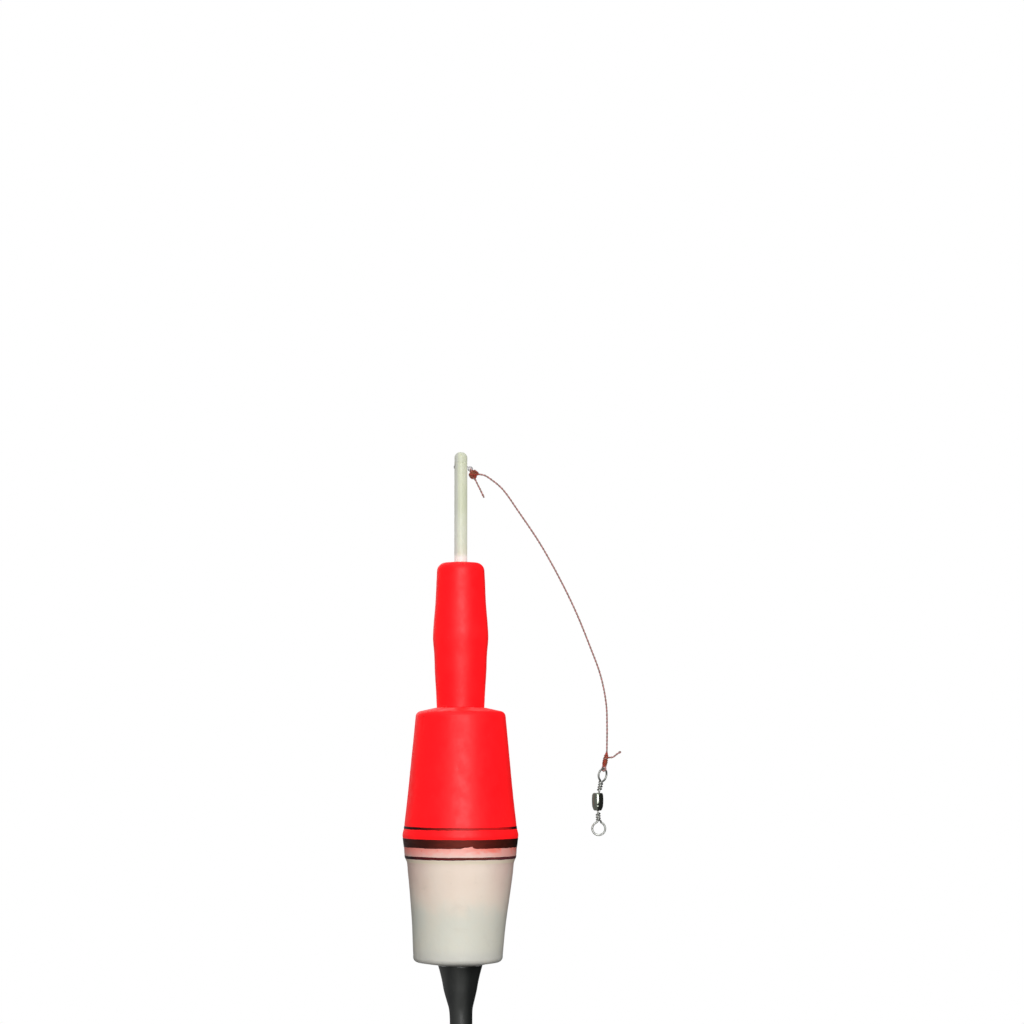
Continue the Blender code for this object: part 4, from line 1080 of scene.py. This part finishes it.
def band(name, top, bottom, ragged_top, ragged_bottom, thick, chips, seed):
    """A painted band with a real, uneven edge. chips are (angle in degrees from the front towards +X, half width mm, depth mm) bites out of its lower edge."""
    steps = 480
    rows = []
    verts = []
    for k in range(steps):
        a = math.tau * k / steps
        c, s_ = math.cos(a), math.sin(a)
        edge_top = top + ragged_top * (0.7 * fbm(c * 2.2 + seed, s_ * 2.2, 1.0) + 0.5 * fbm(c * 9 + seed, s_ * 9, 2.0))
        edge_low = bottom + ragged_bottom * (0.8 * fbm(c * 1.6, s_ * 1.6 + seed, 3.0) + 0.6 * fbm(c * 8, s_ * 8 + seed, 4.0))
        for deg, half, deep in chips:
            centre = math.radians(deg - 90.0)
            da = ((a - centre + math.pi) % math.tau - math.pi) * skin((top + bottom) / 2)
            bite = max(0.0, 1.0 - (da / half) ** 2)
            edge_low += deep * bite ** 1.4 * (1.0 + 0.5 * fbm(da * 3.0, seed, 6.0))
        edge_low = min(edge_low, edge_top - 0.18)
        height = edge_top - edge_low
        lip = min(0.10, height * 0.22)
        stations = [(edge_low, -0.035), (edge_low + lip * 0.35, thick * 0.55), (edge_low + lip, thick)]
        m = 7
        stations += [(edge_low + lip + (height - 2 * lip) * j / m, thick * (1 + 0.25 * noise.noise(Vector((c * 6, s_ * 6, j * 0.9 + seed))))) for j in range(1, m)]
        stations += [(edge_top - lip, thick), (edge_top - lip * 0.35, thick * 0.55), (edge_top, -0.035)]
        inner = [(edge_top - height * 0.30, -0.075), (edge_low + height * 0.30, -0.075)]
        row = []
        for z, lift in stations + inner:
            r = skin(z) + swell(a, z, 0.0) + lift
            row.append(len(verts))
            verts.append((r * c, r * s_, z))
        rows.append(row)
    faces = []
    for k in range(steps):
        a, b = rows[k], rows[(k + 1) % steps]
        for j in range(len(a)):
            m = (j + 1) % len(a)
            faces.append((a[j], b[j], b[m], a[m]))
    return finish_mesh(name, verts, faces, sharp=50.0)


piece(band("stripe_upper_paint", *STRIPE_UPPER, 0.07, 0.10, 0.030, [], 5.0), "float", "stripe_upper", "stripe", UPPER_STRIPE_PAINT)
piece(band("belt_band_paint", *BELT, 0.07, 0.11, 0.045,
           [(10.0, 1.9, 0.30), (12.0, 0.9, 0.12), (8.3, 0.5, 0.08), (13.6, 0.40, 0.20), (5.5, 0.4, 0.10), (150.0, 1.4, 0.40), (152.0, 0.5, 0.25), (262.0, 1.2, 0.25)], 2.0),
      "float", "belt_band", "belt", BELT_PAINT)
piece(band("stripe_lower_paint", *STRIPE_LOWER, 0.09, 0.09, 0.035, [(171.0, 0.8, 0.2)], 8.0), "float", "stripe_lower", "stripe", LOWER_STRIPE_PAINT)


# ------------------------------------------------------------------ keel
def keel_shift(a, r, z):
    if r < 2.6 or z > KEEL_TOP_Z - 0.02:
        return 0.0, 0.0
    d = 0.018 * noise.noise(Vector((math.cos(a) * 1.2, math.sin(a) * 1.2, z * 0.08)))
    # the mould's two parting lines
    for side in (0.35, 0.35 + math.pi):
        da = ((a - side + math.pi) % math.tau - math.pi) * r
        d += 0.045 * math.exp(-((da / 0.10) ** 2))
    # the stem draws in and bends a little to the right under the flared head
    bend = smoothstep(-37.0, -47.0, z)
    return d + bend * (0.22 * math.cos(a) - 0.20), 0.0


keel_zs = ladder(KEEL_TOP_Z - 0.35, -46.0, 0.35) + ladder(-46.8, KEEL_END_Z + 0.12, 0.9)
keel_out = [(BORE_R, -41.5), (BORE_R, KEEL_SPIGOT_Z - 0.1), (BORE_R + 0.1, KEEL_SPIGOT_Z), (KEEL_SPIGOT_R - 0.15, KEEL_SPIGOT_Z), (KEEL_SPIGOT_R, KEEL_SPIGOT_Z - 0.15),
            (KEEL_SPIGOT_R, KEEL_TOP_Z), (4.8, KEEL_TOP_Z), (5.4, KEEL_TOP_Z), (5.52, KEEL_TOP_Z - 0.05), (5.555, KEEL_TOP_Z - 0.16)]
keel_out += [(between(KEEL, z), z) for z in keel_zs]
keel_out += [(KEEL_STEM_R - 0.08, KEEL_END_Z), (KEEL_BORE_R, KEEL_END_Z), (KEEL_BORE_R, KEEL_BORE_TOP_Z), (0, KEEL_BORE_TOP_Z), (0, -41.5)]
piece(lathe("keel_stem_moulded", keel_out, 128, keel_shift), "float", "keel_stem", "keel", BLACK)

plug_seam = KEEL_END_Z - 0.06
plug_out = [(0, PLUG_TIP_Z)]
plug_out += fillet((0, PLUG_TIP_Z), (KEEL_STEM_R, PLUG_TIP_Z), (KEEL_STEM_R, plug_seam), PLUG_EDGE, 14)
plug_out += [(KEEL_STEM_R, plug_seam - 1.2), (KEEL_STEM_R, plug_seam - 0.1), (KEEL_STEM_R - 0.08, plug_seam), (SLUG_R, plug_seam), (SLUG_R, PLUG_SPIGOT_Z + 0.1), (SLUG_R - 0.1, PLUG_SPIGOT_Z), (0, PLUG_SPIGOT_Z)]


def plug_shift(a, r, z):
    if r < 0.2 or z > plug_seam + 0.01:
        return 0.0, 0.0
    return 0.012 * noise.noise(Vector((math.cos(a), math.sin(a), z * 0.7))) + 0.22 * math.cos(a) - 0.20 * smoothstep(1.0, 2.4, r), 0.0


piece(lathe("keel_end_plug_moulded", dense(plug_out, 0.5), 96, plug_shift), "float", "keel_end_plug", "keel_plug", PLUG)

# the slug stays as the CAD made it: it is sealed inside the keel
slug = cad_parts["ballast_slug"]
slug.data.materials.clear()
slug.data.materials.append(LEAD)

# the painted pieces stay out of what the plated swivel mirrors
for name in ("neck_float_foam", "upper_body_foam", "lower_body_foam", "stripe_upper_paint", "belt_band_paint", "stripe_lower_paint"):
    bpy.data.objects[name].visible_glossy = False

# ------------------------------------------------------------------ stage
FLOOR_Z = -92.35
BACKDROP, BACKDROP_GLOW = (1.0, 1.0, 1.0, 1.0), 1.0


def stage_material(name, build_nodes):
    mat = bpy.data.materials.new(name)
    mat.use_nodes = True
    nt = mat.node_tree
    nt.nodes.clear()
    build_nodes(nt)
    return mat


def floor_nodes(nt):
    """Pale card near the float, which pales into the backdrop further out."""
    out = nt.nodes.new("ShaderNodeOutputMaterial")
    near = nt.nodes.new("ShaderNodeAddShader")
    glow = nt.nodes.new("ShaderNodeEmission")
    glow.inputs["Color"].default_value = (1.0, 0.998, 0.995, 1.0)
    glow.inputs["Strength"].default_value = 0.60
    diff = nt.nodes.new("ShaderNodeBsdfDiffuse")
    diff.inputs["Color"].default_value = (0.42, 0.42, 0.415, 1.0)
    nt.links.new(glow.outputs[0], near.inputs[0])
    nt.links.new(diff.outputs[0], near.inputs[1])
    far = nt.nodes.new("ShaderNodeEmission")
    far.inputs["Color"].default_value = BACKDROP
    far.inputs["Strength"].default_value = BACKDROP_GLOW
    at = nt.nodes.new("ShaderNodeTexCoord")
    away = nt.nodes.new("ShaderNodeVectorMath")
    away.operation = "LENGTH"
    nt.links.new(at.outputs["Object"], away.inputs[0])
    fade = nt.nodes.new("ShaderNodeMapRange")
    fade.interpolation_type = "SMOOTHSTEP"
    fade.inputs["From Min"].default_value = 0.14
    fade.inputs["From Max"].default_value = 0.40
    nt.links.new(away.outputs["Value"], fade.inputs["Value"])
    mix = nt.nodes.new("ShaderNodeMixShader")
    nt.links.new(fade.outputs["Result"], mix.inputs[0])
    nt.links.new(near.outputs[0], mix.inputs[1])
    nt.links.new(far.outputs[0], mix.inputs[2])
    nt.links.new(mix.outputs[0], out.inputs["Surface"])


def dome_nodes(nt):
    out = nt.nodes.new("ShaderNodeOutputMaterial")
    glow = nt.nodes.new("ShaderNodeEmission")
    glow.inputs["Color"].default_value = BACKDROP
    glow.inputs["Strength"].default_value = BACKDROP_GLOW
    nt.links.new(glow.outputs[0], out.inputs["Surface"])


def disc(name, radius, z, steps, mat):
    mesh = bpy.data.meshes.new(name)
    verts = [(radius * math.cos(math.tau * k / steps), radius * math.sin(math.tau * k / steps), z) for k in range(steps)]
    mesh.from_pydata(verts, [], [tuple(range(steps))])
    mesh.materials.append(mat)
    ob = bpy.data.objects.new(name, mesh)
    scene.collection.objects.link(ob)
    return ob


floor = disc("floor", 6.0, FLOOR_Z * MM, 96, stage_material("floor", floor_nodes))
floor.visible_diffuse = False
floor.visible_glossy = False

bm = bmesh.new()
bmesh.ops.create_uvsphere(bm, u_segments=48, v_segments=24, radius=6.0)
mesh = bpy.data.meshes.new("backdrop")
bm.to_mesh(mesh)
bm.free()
mesh.shade_smooth()
mesh.materials.append(stage_material("backdrop", dome_nodes))
backdrop = bpy.data.objects.new("backdrop", mesh)
scene.collection.objects.link(backdrop)
backdrop.visible_diffuse = False
backdrop.visible_glossy = False
backdrop.visible_transmission = False
backdrop.visible_shadow = False

# soft room light: even for the paint, and brighter on the left than on the right in what the metal mirrors
world = bpy.data.worlds.new("studio")
world.use_nodes = True
wt = world.node_tree
room = wt.nodes["Background"]
room.inputs["Color"].default_value = (1.0, 1.0, 1.0, 1.0)
room.inputs["Strength"].default_value = 0.20
mirrored = wt.nodes.new("ShaderNodeBackground")
mirrored.inputs["Strength"].default_value = 1.0
facing = wt.nodes.new("ShaderNodeTexCoord")
split = wt.nodes.new("ShaderNodeSeparateXYZ")
wt.links.new(facing.outputs["Generated"], split.inputs[0])
slope = wt.nodes.new("ShaderNodeMapRange")
slope.interpolation_type = "SMOOTHSTEP"
slope.inputs["From Min"].default_value, slope.inputs["From Max"].default_value = -0.35, 0.30
slope.inputs["To Min"].default_value, slope.inputs["To Max"].default_value = 0.30, 0.035
wt.links.new(split.outputs[0], slope.inputs["Value"])
wt.links.new(slope.outputs["Result"], mirrored.inputs["Color"])
ray = wt.nodes.new("ShaderNodeLightPath")
either = wt.nodes.new("ShaderNodeMixShader")
wt.links.new(ray.outputs["Is Glossy Ray"], either.inputs[0])
wt.links.new(room.outputs[0], either.inputs[1])
wt.links.new(mirrored.outputs[0], either.inputs[2])
wt.links.new(either.outputs[0], wt.nodes["World Output"].inputs["Surface"])
scene.world = world


def softbox(name, at, target, width, height, watts, colour=(1.0, 1.0, 1.0)):
    data = bpy.data.lights.new(name, "AREA")
    data.shape, data.size, data.size_y = "RECTANGLE", width, height
    data.energy, data.color = watts, colour
    ob = bpy.data.objects.new(name, data)
    scene.collection.objects.link(ob)
    ob.location = at
    ob.rotation_mode = "QUATERNION"
    ob.rotation_quaternion = (Vector(target) - Vector(at)).to_track_quat("-Z", "Y")
    return ob


softbox("key", (0.10, -0.95, 0.30), (0.0, 0.0, 0.0), 0.42, 0.80, 9.4)
softbox("top", (0.0, -0.10, 1.1), (0.0, 0.0, 0.0), 0.9, 0.9, 3.0)
softbox("back_fill", (-0.35, 1.1, 0.45), (0.0, 0.0, 0.0), 0.8, 0.8, 2.2)

scene.view_settings.view_transform = "Standard"
scene.view_settings.look = "None"
